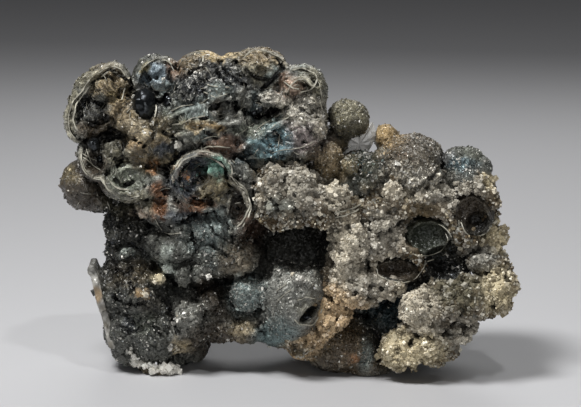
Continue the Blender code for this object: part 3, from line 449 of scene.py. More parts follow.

# Patches of colour on the arsenic: across, up, half width, half height, tone and strength; a few
# dark ones are painted shade in hollows and under a ball
ARSENIC_PATCHES = (
    # first lobe and what is in and under it
    (2.4, 66, 1.6, 6, "grey_olive", 2), (8, 75, 4, 2, "grey_olive", 2),
    (11.5, 72.7, 3.6, 3.6, "tan_brown", 3), (12.6, 71, 1.4, 1.6, "olive_yellow", 2),
    (7.5, 67, 3.4, 3.2, "black", 8), (9.8, 69.4, 1.2, 1, "teal_black", 4),
    (8.5, 62.6, 3.2, 2, "brown", 3), (14.5, 67, 2.4, 3.6, "tan_brown", 3),
    (18.5, 61.8, 4.2, 3.4, "tan", 4), (18.5, 58.2, 2.2, 1, "tan_orange", 4),
    # The black at 12 across and 59.2 up is painted shade in the cave under the first lobe
    (12, 59.2, 3.8, 4, "black", 5), (13.2, 56.2, 2.6, 2.4, "grey_olive", 5),
    (7.6, 53.4, 3, 3, "brown_dark", 3), (15.2, 49.6, 4.4, 3.2, "grey_green", 3),
    (20.7, 54.6, 3, 2.6, "olive_brown", 4), (22.4, 52.8, 1.1, 1.2, "orange", 3),
    (20.8, 68.6, 3.8, 4.2, "black", 4), (25.2, 57.2, 1.8, 1.8, "slate", 4),
    (27.2, 54.2, 2, 2.2, "olive", 4), (24.6, 62.4, 3.6, 2.8, "tan_brown", 2),
    # second and third lobes
    (24, 76.2, 3, 2.2, "blue_grey", 5), (25.4, 73.8, 2.6, 1.8, "teal_grey", 4),
    (21.2, 77.6, 1.2, 1, "olive_yellow", 4), (28.6, 78, 2.2, 1.8, "pink_brown", 4),
    (32.2, 78.4, 3, 2.2, "olive_brown", 4), (38.6, 81.2, 3.6, 1.4, "tan_yellow", 6),
    (38.2, 75.4, 7, 3.4, "druse", 4), (31.5, 72.6, 4.6, 2.8, "druse", 3),
    (28, 70, 2.6, 2.6, "grey_dark", 2),
    # layered face
    (39, 72.2, 2.6, 1.6, "teal_pale", 3), (33.4, 67.4, 5, 2.6, "teal_grey", 2.5),
    (29.6, 64.6, 5, 3, "grey_green", 2), (33.5, 63.2, 2.8, 1.4, "ochre", 3),
    (37.8, 62.6, 2.4, 1.2, "ochre", 3), (36.2, 61, 3, 1.2, "teal_grey", 3),
    (39.6, 58.2, 4.6, 2.2, "red_brown", 4), (38, 67.6, 2.2, 2, "brown_dark", 5),
    (44.4, 67.4, 2.4, 4, "grey", 2.5), (32, 59, 3, 2, "grey", 2),
    # fourth and fifth lobes
    (50, 79.4, 4.4, 2.4, "tan_brown", 4), (51.6, 80.6, 2.2, 0.9, "brown", 4),
    (52, 76.8, 1.8, 1.6, "teal_grey", 4), (47.4, 77, 2.8, 2.4, "grey_olive", 3),
    (57.6, 72.6, 2.8, 2.4, "pink_brown", 4), (62.6, 73.4, 2.6, 3.6, "grey_olive", 4),
    (52.2, 70.2, 2.6, 1.6, "cream_grey", 3), (52.4, 67, 2.4, 1.6, "soot", 4),
    (48.8, 68.2, 2.2, 3, "teal_black", 5), (60.6, 67.8, 5.2, 3, "cream_grey", 5),
    (61, 60, 5.2, 4.2, "grey_pink", 3), (64.4, 62.4, 1.6, 1.8, "cream", 5),
    (52.9, 59.4, 3.2, 4, "teal_blue", 6), (49, 57.6, 2.6, 2, "teal", 3),
    (50, 62.8, 5, 2.4, "grey_green", 3), (45.6, 56, 2.2, 1.6, "teal_black", 5),
    (57, 54.4, 6, 1.4, "green_black", 5),
    # ring hollows and the rust
    (31, 51, 3.6, 4, "slate", 4), (30.4, 51.2, 1.1, 1.1, "orange", 2),
    (38.4, 52.7, 2.4, 2.2, "teal_green", 6), (38.2, 48.2, 3.4, 2.4, "olive", 5),
    (24.4, 44.8, 1.6, 3, "rust", 6), (33, 43.6, 3.6, 1.8, "rust", 4),
    (44, 42.6, 2.2, 4, "brown_dark", 5), (42, 46, 1.2, 3, "soot", 2),
    (17.5, 43.6, 5, 2.6, "grey_olive", 3), (28.6, 44, 2.4, 3, "grey", 2),
    # pod and neck
    (4.6, 47.6, 5.6, 5.6, "brown_dark", 5), (2.2, 51, 1.6, 2, "olive", 5),
    (15, 36.6, 5.6, 5.6, "soot", 5), (14, 27.6, 5, 4.4, "soot", 5),
    (19.8, 41.6, 1.8, 1.3, "cream_pink", 4), (24, 35.6, 4.4, 3.4, "grey_dark", 5),
    (30.4, 40.6, 4, 1.8, "slate", 3), (15.8, 31.6, 1.6, 1.5, "frost", 6),
    (13.6, 36, 1.6, 1.6, "grey_dark", 4),
    # grey middle
    (37, 36.8, 6, 4.6, "teal_grey", 5), (34.4, 29.4, 6, 3.6, "grey_dark", 3),
    (42, 33.4, 3, 3, "grey_brown", 3), (30.4, 35.6, 3, 2.4, "grey", 3),
    (26.5, 31.8, 1.7, 1.6, "frost", 5), (26.6, 27.8, 1.7, 1.6, "frost", 5),
    (46.6, 37.4, 3.4, 3.6, "red_brown", 4), (44.2, 30.2, 4, 4, "grey_brown", 4),
    (30.4, 25, 2.8, 2.6, "grey_dark", 3), (31.8, 15.8, 4, 4, "grey", 4),
    (38.2, 20, 5.4, 4.4, "brown_dark", 3), (37.6, 9.8, 6, 3.4, "brown_dark", 4),
    (46, 21.5, 4.2, 4.2, "teal_grey", 7), (44.6, 12.4, 2.4, 2, "tan", 5),
    # lower left block
    (18.2, 17.4, 8, 8.4, "charcoal", 4), (16.6, 13.2, 1.8, 1.5, "blue_dark", 2),
    (20.6, 14, 2.4, 2.4, "grey_green", 3), (22.4, 19, 2.6, 3, "umber", 3),
    (17.6, 26, 5, 3, "olive_brown", 3), (19.6, 7.4, 6, 2.8, "grey_dark", 3),
    (19.6, 21.2, 1.6, 0.8, "tan_orange", 6), (24, 25.2, 1.4, 1.3, "yellow_cream", 6),
    (30, 8.4, 2.2, 1.6, "tan", 4), (26.4, 19.6, 1.6, 4, "soot", 3),
    # big ball, foot and the gap beside it
    (57, 20, 7.4, 9.6, "grey", 6), (54, 11.6, 4, 3.2, "teal", 4), (59, 25, 4, 2.4, "grey_pale", 5),
    (61.6, 17.6, 2.6, 2, "grey_olive", 5), (72.4, 9.4, 9, 6.4, "brown", 4),
    (76.2, 6.8, 1.8, 3.8, "teal_grey", 5), (72.8, 5.6, 1.4, 1.3, "orange", 5),
    # The teal black in the gap beside the foot is its teal wall with painted shade over it; the
    # soot on the wall behind the cavity is painted shade
    (82, 16, 6, 7, "teal_black", 9), (59.6, 7.4, 4.4, 1.8, "tan_orange", 5),
    (63.5, 9, 4, 2.4, "tan_brown", 3), (57, 34, 9, 5.6, "soot", 6),
    # balls, domes and cups of the right
    # The soot at 61.4 up is painted shade at the base of the upper ball
    (71.8, 65.2, 5, 5, "grey_olive", 7), (71.8, 61.4, 4.4, 1.6, "soot", 4),
    (66.2, 54.8, 4.4, 4.6, "tan_brown", 7), (81.2, 60.4, 3.8, 3.4, "ochre", 7),
    (76, 55, 4.6, 4.6, "green_black", 6), (72.4, 53.5, 2.2, 2, "olive", 5),
    (87, 56.6, 8.4, 6, "umber", 7), (84, 57, 4, 3, "brown", 3),
    (87, 50.6, 6.4, 2.8, "cream_grey", 4), (99.6, 53.4, 3.4, 1.4, "teal_blue", 4),
    (96.6, 55.2, 2.4, 2, "slate", 4), (102, 54.6, 6.4, 5.4, "grey_dark", 5),
    (102.4, 56.4, 4, 2, "grey_green", 3), (106.6, 49.8, 1.6, 1.5, "yellow_cream", 4),
    # The black and the soot deep in the cups are painted shade
    (101.6, 42.6, 4.6, 3.8, "brown_dark", 7), (104.4, 38.8, 3.2, 3, "black", 7),
    (91.4, 35.4, 5.6, 4.2, "green_black", 7), (83.6, 26.8, 5.8, 2.4, "brown_dark", 7),
    (95.6, 27.6, 5.4, 4.2, "black", 7), (98.4, 34.4, 2.8, 4.8, "soot", 5),
)
# The same for the crust
CRUST_PATCHES = (
    (58.6, 47.6, 6.4, 5.4, "cream_grey", 3), (68.4, 46, 2.6, 3, "cream", 5),
    (54.6, 43.4, 2.6, 2, "frost", 2), (84.6, 46.8, 5, 2.4, "cream", 3),
    (71, 32, 3.6, 7, "cream", 6), (77, 26.4, 6, 5.4, "cream_grey", 5),
    (79.8, 36.6, 4.6, 4.6, "cream_grey", 4), (97, 47, 5.6, 4.4, "cream_grey", 5),
    (91, 42, 4, 2, "tan_brown", 3), (69.4, 17.6, 5.6, 4.4, "cream_tan", 7),
    (63.4, 11.2, 4.6, 2.6, "cream_tan", 5), (73.4, 21.6, 3.6, 2.8, "grey_pale", 3),
    (108.4, 22.6, 3.8, 4, "yellow_cream", 6), (99.6, 22.4, 6, 3.6, "grey_olive", 5),
    (88.4, 18.6, 4.6, 4.6, "cream", 5), (87, 7.2, 6.6, 3.8, "yellow_cream", 5),
    (100, 12, 5, 3.4, "cream_grey", 5), (97.4, 13.6, 2, 1.4, "brown", 6),
    (108.2, 35.8, 3, 2.8, "yellow_cream", 6), (104.6, 29.6, 3.4, 2.8, "grey_pale", 4),
    (78, 28, 3.6, 2.4, "tan", 3), (106.4, 49.6, 1.6, 1.6, "yellow_cream", 5),
    (90.6, 12, 1.8, 1.4, "cream", 5),
)

# Where small crystals grow on the arsenic: across, up, half width, half height, how many on a
# square millimetre, their size, and their tones
FROST = (
    (52.4, 59.4, 4.4, 4.4, 8, 0.36, ("teal_blue", "white", "teal", "grey_pale", "green_black")),
    (60.6, 67.6, 5.6, 3.6, 5, 0.46, ("white", "grey_pale", "grey", "druse")),
    (61, 60, 5.4, 4.6, 5, 0.40, ("grey_pale", "grey_pink", "grey", "druse")),
    (44.4, 67, 3, 5, 3.5, 0.38, ("grey_pale", "grey", "slate")),
    (38, 75.6, 8, 4, 4.5, 0.42, ("druse", "slate", "druse", "grey", "white")),
    (31.5, 72.6, 5, 3.2, 4.5, 0.42, ("druse", "slate", "druse", "white")),
    (7.6, 67, 3.2, 3, 4, 0.42, ("druse", "black", "slate")),
    (31, 51, 3.8, 4.2, 5, 0.42, ("teal_black", "druse", "teal_green", "tan_orange")),
    (46, 21.5, 4.6, 4.6, 9, 0.36, ("frost", "white", "teal_pale", "teal")),
    (57, 21, 8, 10, 5, 0.34, ("grey_pale", "grey", "teal_grey", "grey_dark")),
    (37, 34, 9, 7.5, 5.5, 0.34, ("frost", "grey_pale", "teal_grey", "grey_dark")),
    (19, 16, 8, 10, 4.5, 0.34, ("grey_pale", "slate", "grey_dark", "druse")),
    (87.5, 51, 8, 4, 4, 0.62, ("cream", "white", "cream_grey")),
    (87, 57, 7.6, 4.6, 4, 0.36, ("grey_pale", "grey_brown", "pink_tan", "grey_dark")),
    (100, 53.4, 4.6, 2.2, 5, 0.38, ("teal_grey", "grey_pale", "slate")),
    (102.4, 56.2, 4.6, 2.6, 4, 0.36, ("grey_pale", "grey_green", "grey_dark")),
    (98, 32, 4, 7, 3, 0.40, ("druse", "slate", "druse", "grey")),
    (76, 54.4, 6, 5, 4, 0.42, ("druse", "teal_black", "teal", "white", "tan")),
    (71.8, 65, 5.4, 5.4, 5, 0.30, ("grey_olive", "grey_pale", "olive_yellow", "grey_dark")),
    (66.2, 54.8, 4.6, 4.8, 5, 0.30, ("tan_brown", "tan", "brown")),
    (81.2, 60.4, 4, 4, 5, 0.30, ("tan_orange", "tan_yellow", "tan_brown")),
    (76.2, 6.8, 2.2, 4, 5, 0.34, ("frost", "teal_grey", "teal")),
    (71, 9, 9, 6, 3, 0.34, ("brown", "tan_brown", "grey_dark", "olive")),
    (38, 16, 8, 8, 3, 0.36, ("brown", "grey_brown", "druse", "grey")),
    (14.5, 33, 6, 9, 3, 0.42, ("druse", "soot", "slate")),
    (52.2, 70, 3, 2, 4, 0.44, ("cream_grey", "white", "grey_pale")),
)
# The share of the crystals that grow, how much barer the broken block is, how much of their colour
# is their own, the share that is white (white crystals that also stand in as painted glints), and
# how many there are elsewhere and behind
FROST_SHARE = 0.62
FROST_BLOCK_BARE = 0.35
FROST_OWN = 0.4
FROST_WHITE_GLINTS = 0.10
FROST_ELSEWHERE = 0.9
FROST_BEHIND = 0.35
FROST_SIZE = 0.36
FROST_TONES = ("grey", "grey_dark", "druse", "grey_pale")

# Smooth parts of the front that grow no crystals: across, up, half width and half height
SMOOTH_PARTS = (
    (102.8, 40.6, 4.6, 5), (91.2, 35.3, 5.9, 4.6), (83.8, 26.9, 6, 2.7), (61.6, 17.4, 4.2, 3.6),
)

# Single pale crystals: across, up, size and tone
PALE_CRYSTALS = (
    (29.2, 58.7, 1.6, "white"), (28.6, 59.6, 0.9, "white"), (24.2, 25.4, 1.5, "yellow_cream"),
    (23.6, 24.2, 1, "cream"), (15.6, 31.8, 1.7, "frost"), (26.4, 32, 1.4, "frost"),
    (26.8, 27.8, 1.5, "frost"), (36.5, 26.1, 1.2, "white"), (27.6, 13.6, 1.3, "white"),
    (28.6, 16.4, 1, "cream"), (27, 8.6, 1.4, "white"), (28.6, 8, 1.1, "cream"),
    (30.6, 8.6, 1.2, "tan"), (17.2, 8, 1.2, "white"), (50.2, 22.4, 0.9, "white"),
    (61.8, 15, 0.6, "white"), (59.2, 25.2, 1.1, "white"), (60.6, 24.4, 1, "white"),
    (57.8, 26, 0.9, "cream"), (63, 23, 0.8, "white"), (19.2, 21.4, 1.3, "tan_orange"),
    (20.4, 21, 1.2, "cream"), (18.2, 21.8, 1, "cream"), (21.4, 20.4, 0.8, "tan_orange"),
    (64, 62.6, 1.4, "cream"), (65, 61.8, 1.2, "white"), (64.6, 63.6, 1, "cream"),
    (20, 41.8, 1.2, "cream_pink"), (18.8, 41.2, 0.9, "cream_pink"), (21.2, 42.6, 0.9, "cream"),
    (31.4, 77.2, 0.7, "white"), (33.4, 76.6, 0.6, "white"), (25.4, 75, 0.7, "white"),
    (17.6, 70.4, 0.7, "white"), (22, 61.4, 0.7, "white"), (20.4, 61.6, 0.6, "white"),
    (16.8, 62.2, 0.6, "cream"), (24.6, 38.3, 0.6, "white"), (27.4, 38.4, 0.6, "white"),
    (34.6, 49.6, 0.8, "white"), (30, 51.2, 0.9, "cream_pink"), (31.4, 50.2, 0.7, "orange"),
    (48.6, 66.6, 0.5, "white"), (49.8, 66.4, 0.5, "white"), (48.2, 69.8, 0.5, "frost"),
    (54, 71.2, 0.6, "white"), (17, 50.6, 0.5, "white"), (15.6, 49.4, 0.5, "white"),
    (75.4, 9.8, 0.6, "white"), (96.2, 41.2, 1.4, "yellow_cream"), (95.4, 42, 0.9, "cream"),
    (106.8, 49.8, 1.3, "yellow_cream"), (105.8, 50.6, 1, "cream"), (102.8, 18.4, 0.7, "white"),
    (52.8, 36, 0.5, "white"), (41.6, 34.8, 0.6, "white"), (33.6, 45, 0.5, "white"),
    (2, 52.4, 0.7, "yellow_cream"), (4.2, 53.6, 0.5, "white"), (70.6, 56.4, 0.6, "white"),
)
# The bright calcite along the lower left foot: across, up and size, and how many crystals each has
FOOT_CRYSTALS = 14
FOOT_CALCITE = (
    (18, 5.6, 1.4), (18.8, 4.6, 1.5), (19.6, 3.8, 1.3), (20.6, 3.4, 1.1), (22.6, 3.2, 1.3),
    (23.6, 3.4, 1.6), (24.6, 2.6, 1.7), (25.8, 2.9, 1.6), (26.8, 2.2, 1.7), (27.8, 2.6, 1.6),
    (28.8, 1.8, 1.5), (29.6, 1.5, 1.2), (23, 2.2, 1.3), (17, 6.8, 0.8),
)

# The blade: its outline across and up, its depth and thickness, and its rings from front to back as
# share of the outline and depth in half thicknesses
BLADE_OUTLINE = ((75.4, 63), (77.6, 64.3), (78.4, 61), (76.8, 57.2), (74.8, 54.2), (71.2, 53.6),
                 (70.4, 58), (72.4, 61.2))
BLADE_DEPTH = 4.6
BLADE_THICKNESS = 2.0
BLADE_STEPS = ((0.55, -1), (0.75, -0.92), (0.78, -0.6), (1, -0.3), (1, 0.3), (0.8, 0.9))

# The rind: its outline across and up, the depth of its middle, and how far it goes back
RIND_OUTLINE = ((7, 28.2), (8, 28.4), (8.9, 27.6), (9.4, 24.6), (10.6, 19.6), (12.2, 14.6),
                (13.4, 8.4), (11.6, 8.2), (10.4, 11.2), (9.6, 14.8), (8.6, 17.8), (7.9, 20.3),
                (7.3, 23), (7, 26))
RIND_DEPTH = -4.0
RIND_THICKNESS = 15.0
RIND_HALF_WIDTH = 0.9

# Crystals as corners and faces: a cube leaned along its diagonal, and a four-sided shard
RHOMB_LEAN = 0.22
CUBE = np.array(list(itertools.product((-0.5, 0.5), repeat=3)))
RHOMB = (CUBE - RHOMB_LEAN * (CUBE.sum(axis=1) / 3)[:, None],
         np.array(((0, 1, 3, 2), (4, 6, 7, 5), (0, 4, 5, 1), (2, 3, 7, 6), (0, 2, 6, 4),
                   (1, 5, 7, 3))))
SHARD = (np.array(((1, 1, 1), (1, -1, -1), (-1, 1, -1), (-1, -1, 1))) * 0.46,
         np.array(((0, 1, 2), (0, 3, 1), (0, 2, 3), (1, 3, 2))))
# How high the lowest corners of crystals stay above the floor
CLEAR_OF_FLOOR = 0.05

# How strong the named thin edges show, how many short ones the broken front has, and the corners of
# an edge's section: side, width and depth behind the edge
FINE_RIM_STRENGTH = 0.85
SHELL_EDGES = 260
RIM_SECTION = ((-1, 1.3, 1.5), (-1, 1, 0), (1, 1, 0), (1, 1.3, 1.5))

# The minerals' looks: name, roughness, metallic, facet width, tilt of the facets, speck width,
# contrast of the specks, bump and, where it isn't 0.5, shine
MINERALS = (
    ("arsenic", 0.42, 0.2, 0.42, 1.0, 0.32, 0.7, 0.6),
    ("arsenic_shell", 0.40, 0.1, 0.45, 0.65, 0.32, 0.7, 0.7),
    ("shell_rim", 0.5, 0.0, 0.5, 0.2, 0.3, 0.3, 0.2),
    ("dolomite", 0.85, 0.0, 0.4, 0.15, 0.3, 0.5, 0.5, 0.1),
    ("calcite", 0.4, 0.0, 0.6, 0.2, 0.5, 0.1, 0.1),
    ("glossy_arsenic", 0.30, 0.9, 1.4, 0.3, 0.8, 0.3, 0.15),
)

# The floor and the light. Lights: name, place, where it points and size, all in metres, and watts
FLOOR_HALF = 3000.0
FLOOR_COLOUR = (0.5, 0.5, 0.51, 1)
WORLD_COLOUR = (0.5, 0.5, 0.52, 1)
WORLD_STRENGTH = 0.10
LIGHTS = (
    ("key", (-0.20, -0.19, 0.58), (0, 0, 0.04), (0.20, 0.16), 4.3),
    ("glint", (0.12, -0.30, 0.62), (0, 0, 0.04), (0.03, 0.03), 0.8),
    ("front", (0.05, -0.70, 0.14), (0, 0, 0.04), (0.5, 0.3), 0.75),
    ("back", (0.10, 0.45, 0.40), (0, 0, 0.05), (0.5, 0.2), 1.0),
)


def seen(spots):
    """The places of spots of the front view, each carried along its line of sight to its depth."""
    spots = np.atleast_2d(np.asarray(spots, float))
    rays = AHEAD * VIEW_DISTANCE + np.outer(spots[:, 1] - VIEW_UP, ABOVE)
    rays[:, 0] = spots[:, 0] - VIEW_ACROSS
    return EYE + rays * ((spots[:, 2] - EYE[1]) / rays[:, 1])[:, None]


def front_view(points):
    """Where the front view shows points: across and up."""
    away = points - EYE
    scale = VIEW_DISTANCE / (away @ AHEAD)
    return VIEW_ACROSS + away[:, 0] * scale, VIEW_UP + (away @ ABOVE) * scale


def scramble(cells, seed):
    """A number from 0 to 1 for each cell of a lattice."""
    cells = cells.astype(np.uint32)
    mix = cells[:, 0] * np.uint32(73856093)
    mix ^= cells[:, 1] * np.uint32(19349663)
    mix ^= cells[:, 2] * np.uint32(83492791)
    mix ^= np.uint32((seed * 2654435761 + 97531) & 0xFFFFFFFF)
    for shift, factor in ((16, 0x85EBCA6B), (13, 0xC2B2AE35)):
        mix ^= mix >> np.uint32(shift)
        mix *= np.uint32(factor)
    mix ^= mix >> np.uint32(16)
    return mix.astype(np.float32) / np.float32(2 ** 32)


def noise(points, width, seed):
    """Smooth noise from -1 to 1 with features of a width."""
    turn = 0.7 + seed
    across = points[:, 0] * math.cos(turn) + points[:, 1] * math.sin(turn)
    along = points[:, 1] * math.cos(turn) - points[:, 0] * math.sin(turn)
    place = np.stack((across, along * 0.8 + points[:, 2] * 0.6,
                      points[:, 2] * 0.8 - along * 0.6), axis=1).astype(np.float32) / width
    cell = np.floor(place).astype(np.int32)
    part = place - cell
    part = part * part * part * (part * (part * 6 - 15) + 10)
    total = np.zeros(len(points), np.float32)
    for corner in itertools.product((0, 1), repeat=3):
        share = corner_share(part, corner, np.float32)
        total += share * scramble(cell + np.array(corner, np.int32), seed)
    return total * 2 - 1


def corner_share(part, corner, kind=float):
    """How much a corner of a cell counts for places that lie a part of the way through it."""
    share = np.ones(len(part), kind)
    for axis in range(3):
        share *= part[:, axis] if corner[axis] else 1 - part[:, axis]
    return share


def noises(points, widths, seed):
    """Independent noises of several widths, as columns."""
    return np.stack([noise(points, width, seed + number)
                     for number, width in enumerate(widths)], axis=1)


def blotches(points, width, seed, start, end):
    """Smooth blotches of a width, from 0 to 1, where noise rises from start to end."""
    return smooth_step(noise(points, width, seed), start, end)


def scatter_cells(points, width, seed):
    """Distances to the nearest and second nearest of scattered spots, in widths, and a number from
    0 to 1 that belongs to the nearest."""
    place = (points / width).astype(np.float32)
    cell = np.floor(place - 0.5).astype(np.int32)
    nearest = np.full(len(points), 9, np.float32)
    second = nearest.copy()
    mark = np.zeros(len(points), np.float32)
    for corner in itertools.product((0, 1), repeat=3):
        at = cell + np.array(corner, np.int32)
        gap = np.zeros(len(points), np.float32)
        for axis in range(3):
            spot = at[:, axis] + 0.15 + 0.7 * scramble(at, seed + axis)
            gap += (spot - place[:, axis]) ** 2
        gap = np.sqrt(gap)
        closer = gap < nearest
        second = np.where(closer, nearest, np.minimum(second, gap))
        mark = np.where(closer, scramble(at, seed + 5), mark)
        nearest = np.where(closer, gap, nearest)
    return nearest, second, mark


def smooth_step(value, start, end):
    """0 before start, 1 after end, and a smooth rise between them."""
    share = np.clip((value - start) / (end - start), 0, 1)
    return share * share * (3 - 2 * share)


def smooth_lower(first, second, blend):
    """The lower of two distances, rounded where they cross."""
    share = np.clip(0.5 + 0.5 * (second - first) / blend, 0, 1)
    return second + (first - second) * share - blend * share * (1 - share)


def window(low, high):
    """The part of the grid between two corners: its slices and its coordinates."""
    spans = []
    for axis in range(3):
        first = max(0, int((low[axis] - LOW[axis]) / STEP))
        last = min(SHAPE[axis], int((high[axis] - LOW[axis]) / STEP) + 2)
        spans.append(slice(first, max(first, last)))
    return tuple(spans), np.ix_(*(AXES[axis][span] for axis, span in enumerate(spans)))


def put(field, centre, radii, distance, blend, carve=False):
    """Adds a shape to a field of distances, or carves it away."""
    spans, grid = window(centre - radii - REACH, centre + radii + REACH)
    near = distance(*grid).astype(np.float32)
    if carve:
        field[spans] = -smooth_lower(-field[spans], near, blend)
    else:
        field[spans] = smooth_lower(field[spans], near, blend)


def put_ellipsoid(field, spot, radii, lean, blend, carve=False):
    """Adds or carves an ellipsoid with its middle at a spot of the front view."""
    centre = seen(spot)[0]
    radii = np.asarray(radii, float)
    cosine, sine = math.cos(math.radians(lean)), math.sin(math.radians(lean))

    def distance(x, y, z):
        x, y, z = x - centre[0], y - centre[1], z - centre[2]
        x, z = x * cosine - z * sine, x * sine + z * cosine
        near = np.sqrt((x / radii[0]) ** 2 + (y / radii[1]) ** 2 + (z / radii[2]) ** 2 + 1e-6)
        slope = np.sqrt((x / radii[0] ** 2) ** 2 + (y / radii[1] ** 2) ** 2
                        + (z / radii[2] ** 2) ** 2 + 1e-6 / radii[0] ** 2)
        return near * (near - 1) / slope

    put(field, centre, np.full(3, radii.max()) if lean else radii, distance, blend, carve)


def put_wall(field, places, half_width, back, blend, carve=False, uneven=0.3):
    """Adds or carves a rounded wall along places, drawn out towards the back. Its width varies."""
    for number, (start, end) in enumerate(zip(places, places[1:])):
        radius = half_width * (1 + uneven * math.sin(2.1 * number + start[0]))
        middle = (start + end) / 2 + np.array((0, back / 2, 0))
        reach = np.abs(end - start) / 2 + np.array((radius, radius + back / 2, radius))
        run = end - start
        length = run[0] ** 2 + run[2] ** 2 + 1e-9

        def distance(x, y, z):
            share = np.clip(((x - start[0]) * run[0] + (z - start[2]) * run[2]) / length, 0, 1)
            aside = (x - start[0] - share * run[0]) ** 2 + (z - start[2] - share * run[2]) ** 2
            front = start[1] + share * run[1]
            behind = np.maximum(np.abs(y - front - back / 2) - back / 2, 0)
            return np.sqrt(aside + behind ** 2) - radius

        put(field, middle, reach, distance, blend, carve)


def put_lumps(field, lumps, blend, carve=False):
    """Adds or carves the ellipsoids of a table."""
    for lump in lumps:
        put_ellipsoid(field, lump[:3], lump[3:6], sum(lump[6:]), blend, carve)


def put_balls(field, balls, blend):
    """Adds balls: across, up, depth and radius."""
    for *spot, radius in balls:
        put_ellipsoid(field, spot, (radius,) * 3, 0, blend)


def smooth_path(places, spacing):
    """A smooth curve through places, as points a spacing apart."""
    places = np.asarray(places, float)
    ends = np.vstack((2 * places[0] - places[1], places, 2 * places[-1] - places[-2]))
    points = []
    for before, start, end, after in zip(ends, ends[1:], ends[2:], ends[3:]):
        count = max(1, int(round(np.linalg.norm(end - start) / spacing)))
        for t in np.arange(count) / count:
            points.append(0.5 * (2 * start + (end - before) * t
                                 + (2 * before - 5 * start + 4 * end - after) * t ** 2
                                 + (3 * start - before - 3 * end + after) * t ** 3))
    points.append(places[-1])
    return np.array(points)


def ragged(spots):
    """A smooth curve through places of the front view, with small irregular bends."""
    path = seen(smooth_path(spots, 1.0))
    return path + 0.4 * noises(path, (2.4, 3.5, 2.4), 141)


def sample(grid, points):
    """A grid's values at points."""
    place = (points - LOW) / STEP
    place = np.clip(place, 0, np.array(SHAPE) - 1.001)
    cell = place.astype(int)
    part = place - cell
    total = np.zeros(len(points))
    for corner in itertools.product((0, 1), repeat=3):
        total += corner_share(part, corner) * grid[tuple((cell + corner).T)]
    return total


def face_depths(field, spots, missing=None):
    """The depth at which each line of sight first meets a field's solid. Where one does not, it is
    missing, or the mean of those that do."""
    depths = np.arange(LOW[1], HIGH[1] - 4, STEP / 2)
    lines = np.column_stack((np.repeat(spots, len(depths), axis=0), np.tile(depths, len(spots))))
    inside = (sample(field, seen(lines)) < 0).reshape(len(spots), -1)
    found = depths[inside.argmax(axis=1)]
    known = inside.any(axis=1)
    if missing is None:
        missing = found[known].mean() if known.any() else 0
    return np.where(known, found, missing)


def face_depth(field, across, up):
    """The depth of a field's face at one spot of the front view."""
    return face_depths(field, [(across, up)])[0]


def neighbours(values, reach):
    """Each value's neighbours up to a reach away, one array for each distance."""
    padded = np.pad(values, reach, mode="edge")
    return [padded[start:start + len(values)] for start in range(2 * reach + 1)]


def carve_cracks(field, cracks):
    """Carves cracks along the face: half width, how deep, then places across and up."""
    for radius, deep, *spots in cracks:
        path = smooth_path(spots, 0.8)
        depths = face_depths(field, path)
        if len(depths) > 4:
            depths = np.median(neighbours(depths, 2), axis=0)
        path = seen(np.column_stack((path, depths - 0.6)))
        put_wall(field, path, radius, deep, BEAD_BLEND, True)


def near_surface(field, reach):
    """The grid points within a reach of the surface: their numbers and places."""
    cells = np.nonzero(np.abs(field) < reach)
    points = np.stack([AXES[axis][cells[axis]] for axis in range(3)], axis=1)
    return cells, points


def block_face(points):
    """How far points belong to the upper left block's broken front, from 0 to 1."""
    across, up = front_view(points)
    share = smooth_step(up, 36, 41) * smooth_step(-across, -68, -63)
    share *= smooth_step(np.hypot(across - 5.0, up - 47.5), 6.0, 7.5)
    return share * smooth_step(-points[:, 1], 1, 5)


def layers(points):
    """The layers of the broken shells: 1 on the crest of a hard layer, and 0 between two."""
    places = points + 1.3 * noises(points, (5.0,) * 3, 60)
    nearest = np.full(len(points), 99, np.float32)
    for centre in seen(LAYER_CENTRES).astype(np.float32):
        nearest = np.minimum(nearest, np.linalg.norm(places - centre, axis=1))
    phase = nearest * (1.2 + 0.45 * noise(points, 9.0, 72)) / LAYER_WIDTH
    phase = phase + 0.35 * noise(points, 1.8, 71)
    return np.abs(2 * (phase - np.floor(phase)) - 1)


def relief(field, heights):
    """Adds noise to a field near its surface: heights and widths."""
    cells, points = near_surface(field, 2.5)
    push = sum(height * noise(points, width, 10 + number)
               for number, (height, width) in enumerate(heights))
    field[cells] -= push


def make_arsenic_field():
    """The arsenic, with its lumps, hollows, rims, layers, beads and cracks, and the distance from
    its rims."""
    field = np.full(SHAPE, FAR, np.float32)
    rims = field.copy()
    put_lumps(field, ARSENIC_LUMPS, LUMP_BLEND)
    put_balls(field, [(across, up, BACK_DEPTH, radius) for across, up, radius in BACK_LUMPS],
              LUMP_BLEND)
    relief(field, ARSENIC_WAVES)
    put_lumps(field, HOLLOWS + CUP_HOLLOWS + CAVITY, HOLLOW_BLEND, True)
    for radius, back, *spots in CLEFTS:
        put_wall(field, seen(spots), radius, back, HOLLOW_BLEND, True)
    put_balls(field, SMALL_LUMPS, RIM_BLEND)
    erode_layers(field)
    for radius, back, *spots in RIMS:
        path = ragged(spots)
        put_wall(field, path, radius, back, RIM_BLEND)
        put_wall(rims, path, radius, back, RIM_EDGE)
    for radius, back, *spots in LEDGES:
        put_wall(field, ragged(spots), radius, back, RIM_BLEND)
    for across, up, radius, stand in BEADS:
        depth = face_depth(field, across, up) - stand
        put_balls(field, [(across, up, depth, radius)], BEAD_BLEND)
    carve_cracks(field, CRACKS)
    roughen_front(field)
    field[:, :, AXES[2] <= 0] = FAR
    return field, rims


def erode_layers(field):
    """Wears the broken front back between its hard layers, and opens small pits in it."""
    cells, points = near_surface(field, 2.5)
    keep = points[:, 1] < 2
    cells = tuple(numbers[keep] for numbers in cells)
    points = points[keep]
    share = block_face(points)
    crest = layers(points)
    nearest, _, mark = scatter_cells(points, 2.7, 31)
    pit = np.where(mark > 0.55, np.clip(0.42 - nearest, 0, 1) * 6.0, 0)
    rough = noise(points, 1.1, 33) * 0.45 + noise(points, 2.0, 34) * 0.7
    field[cells] += share * (0.40 - 0.62 * crest ** 2 + pit + rough)


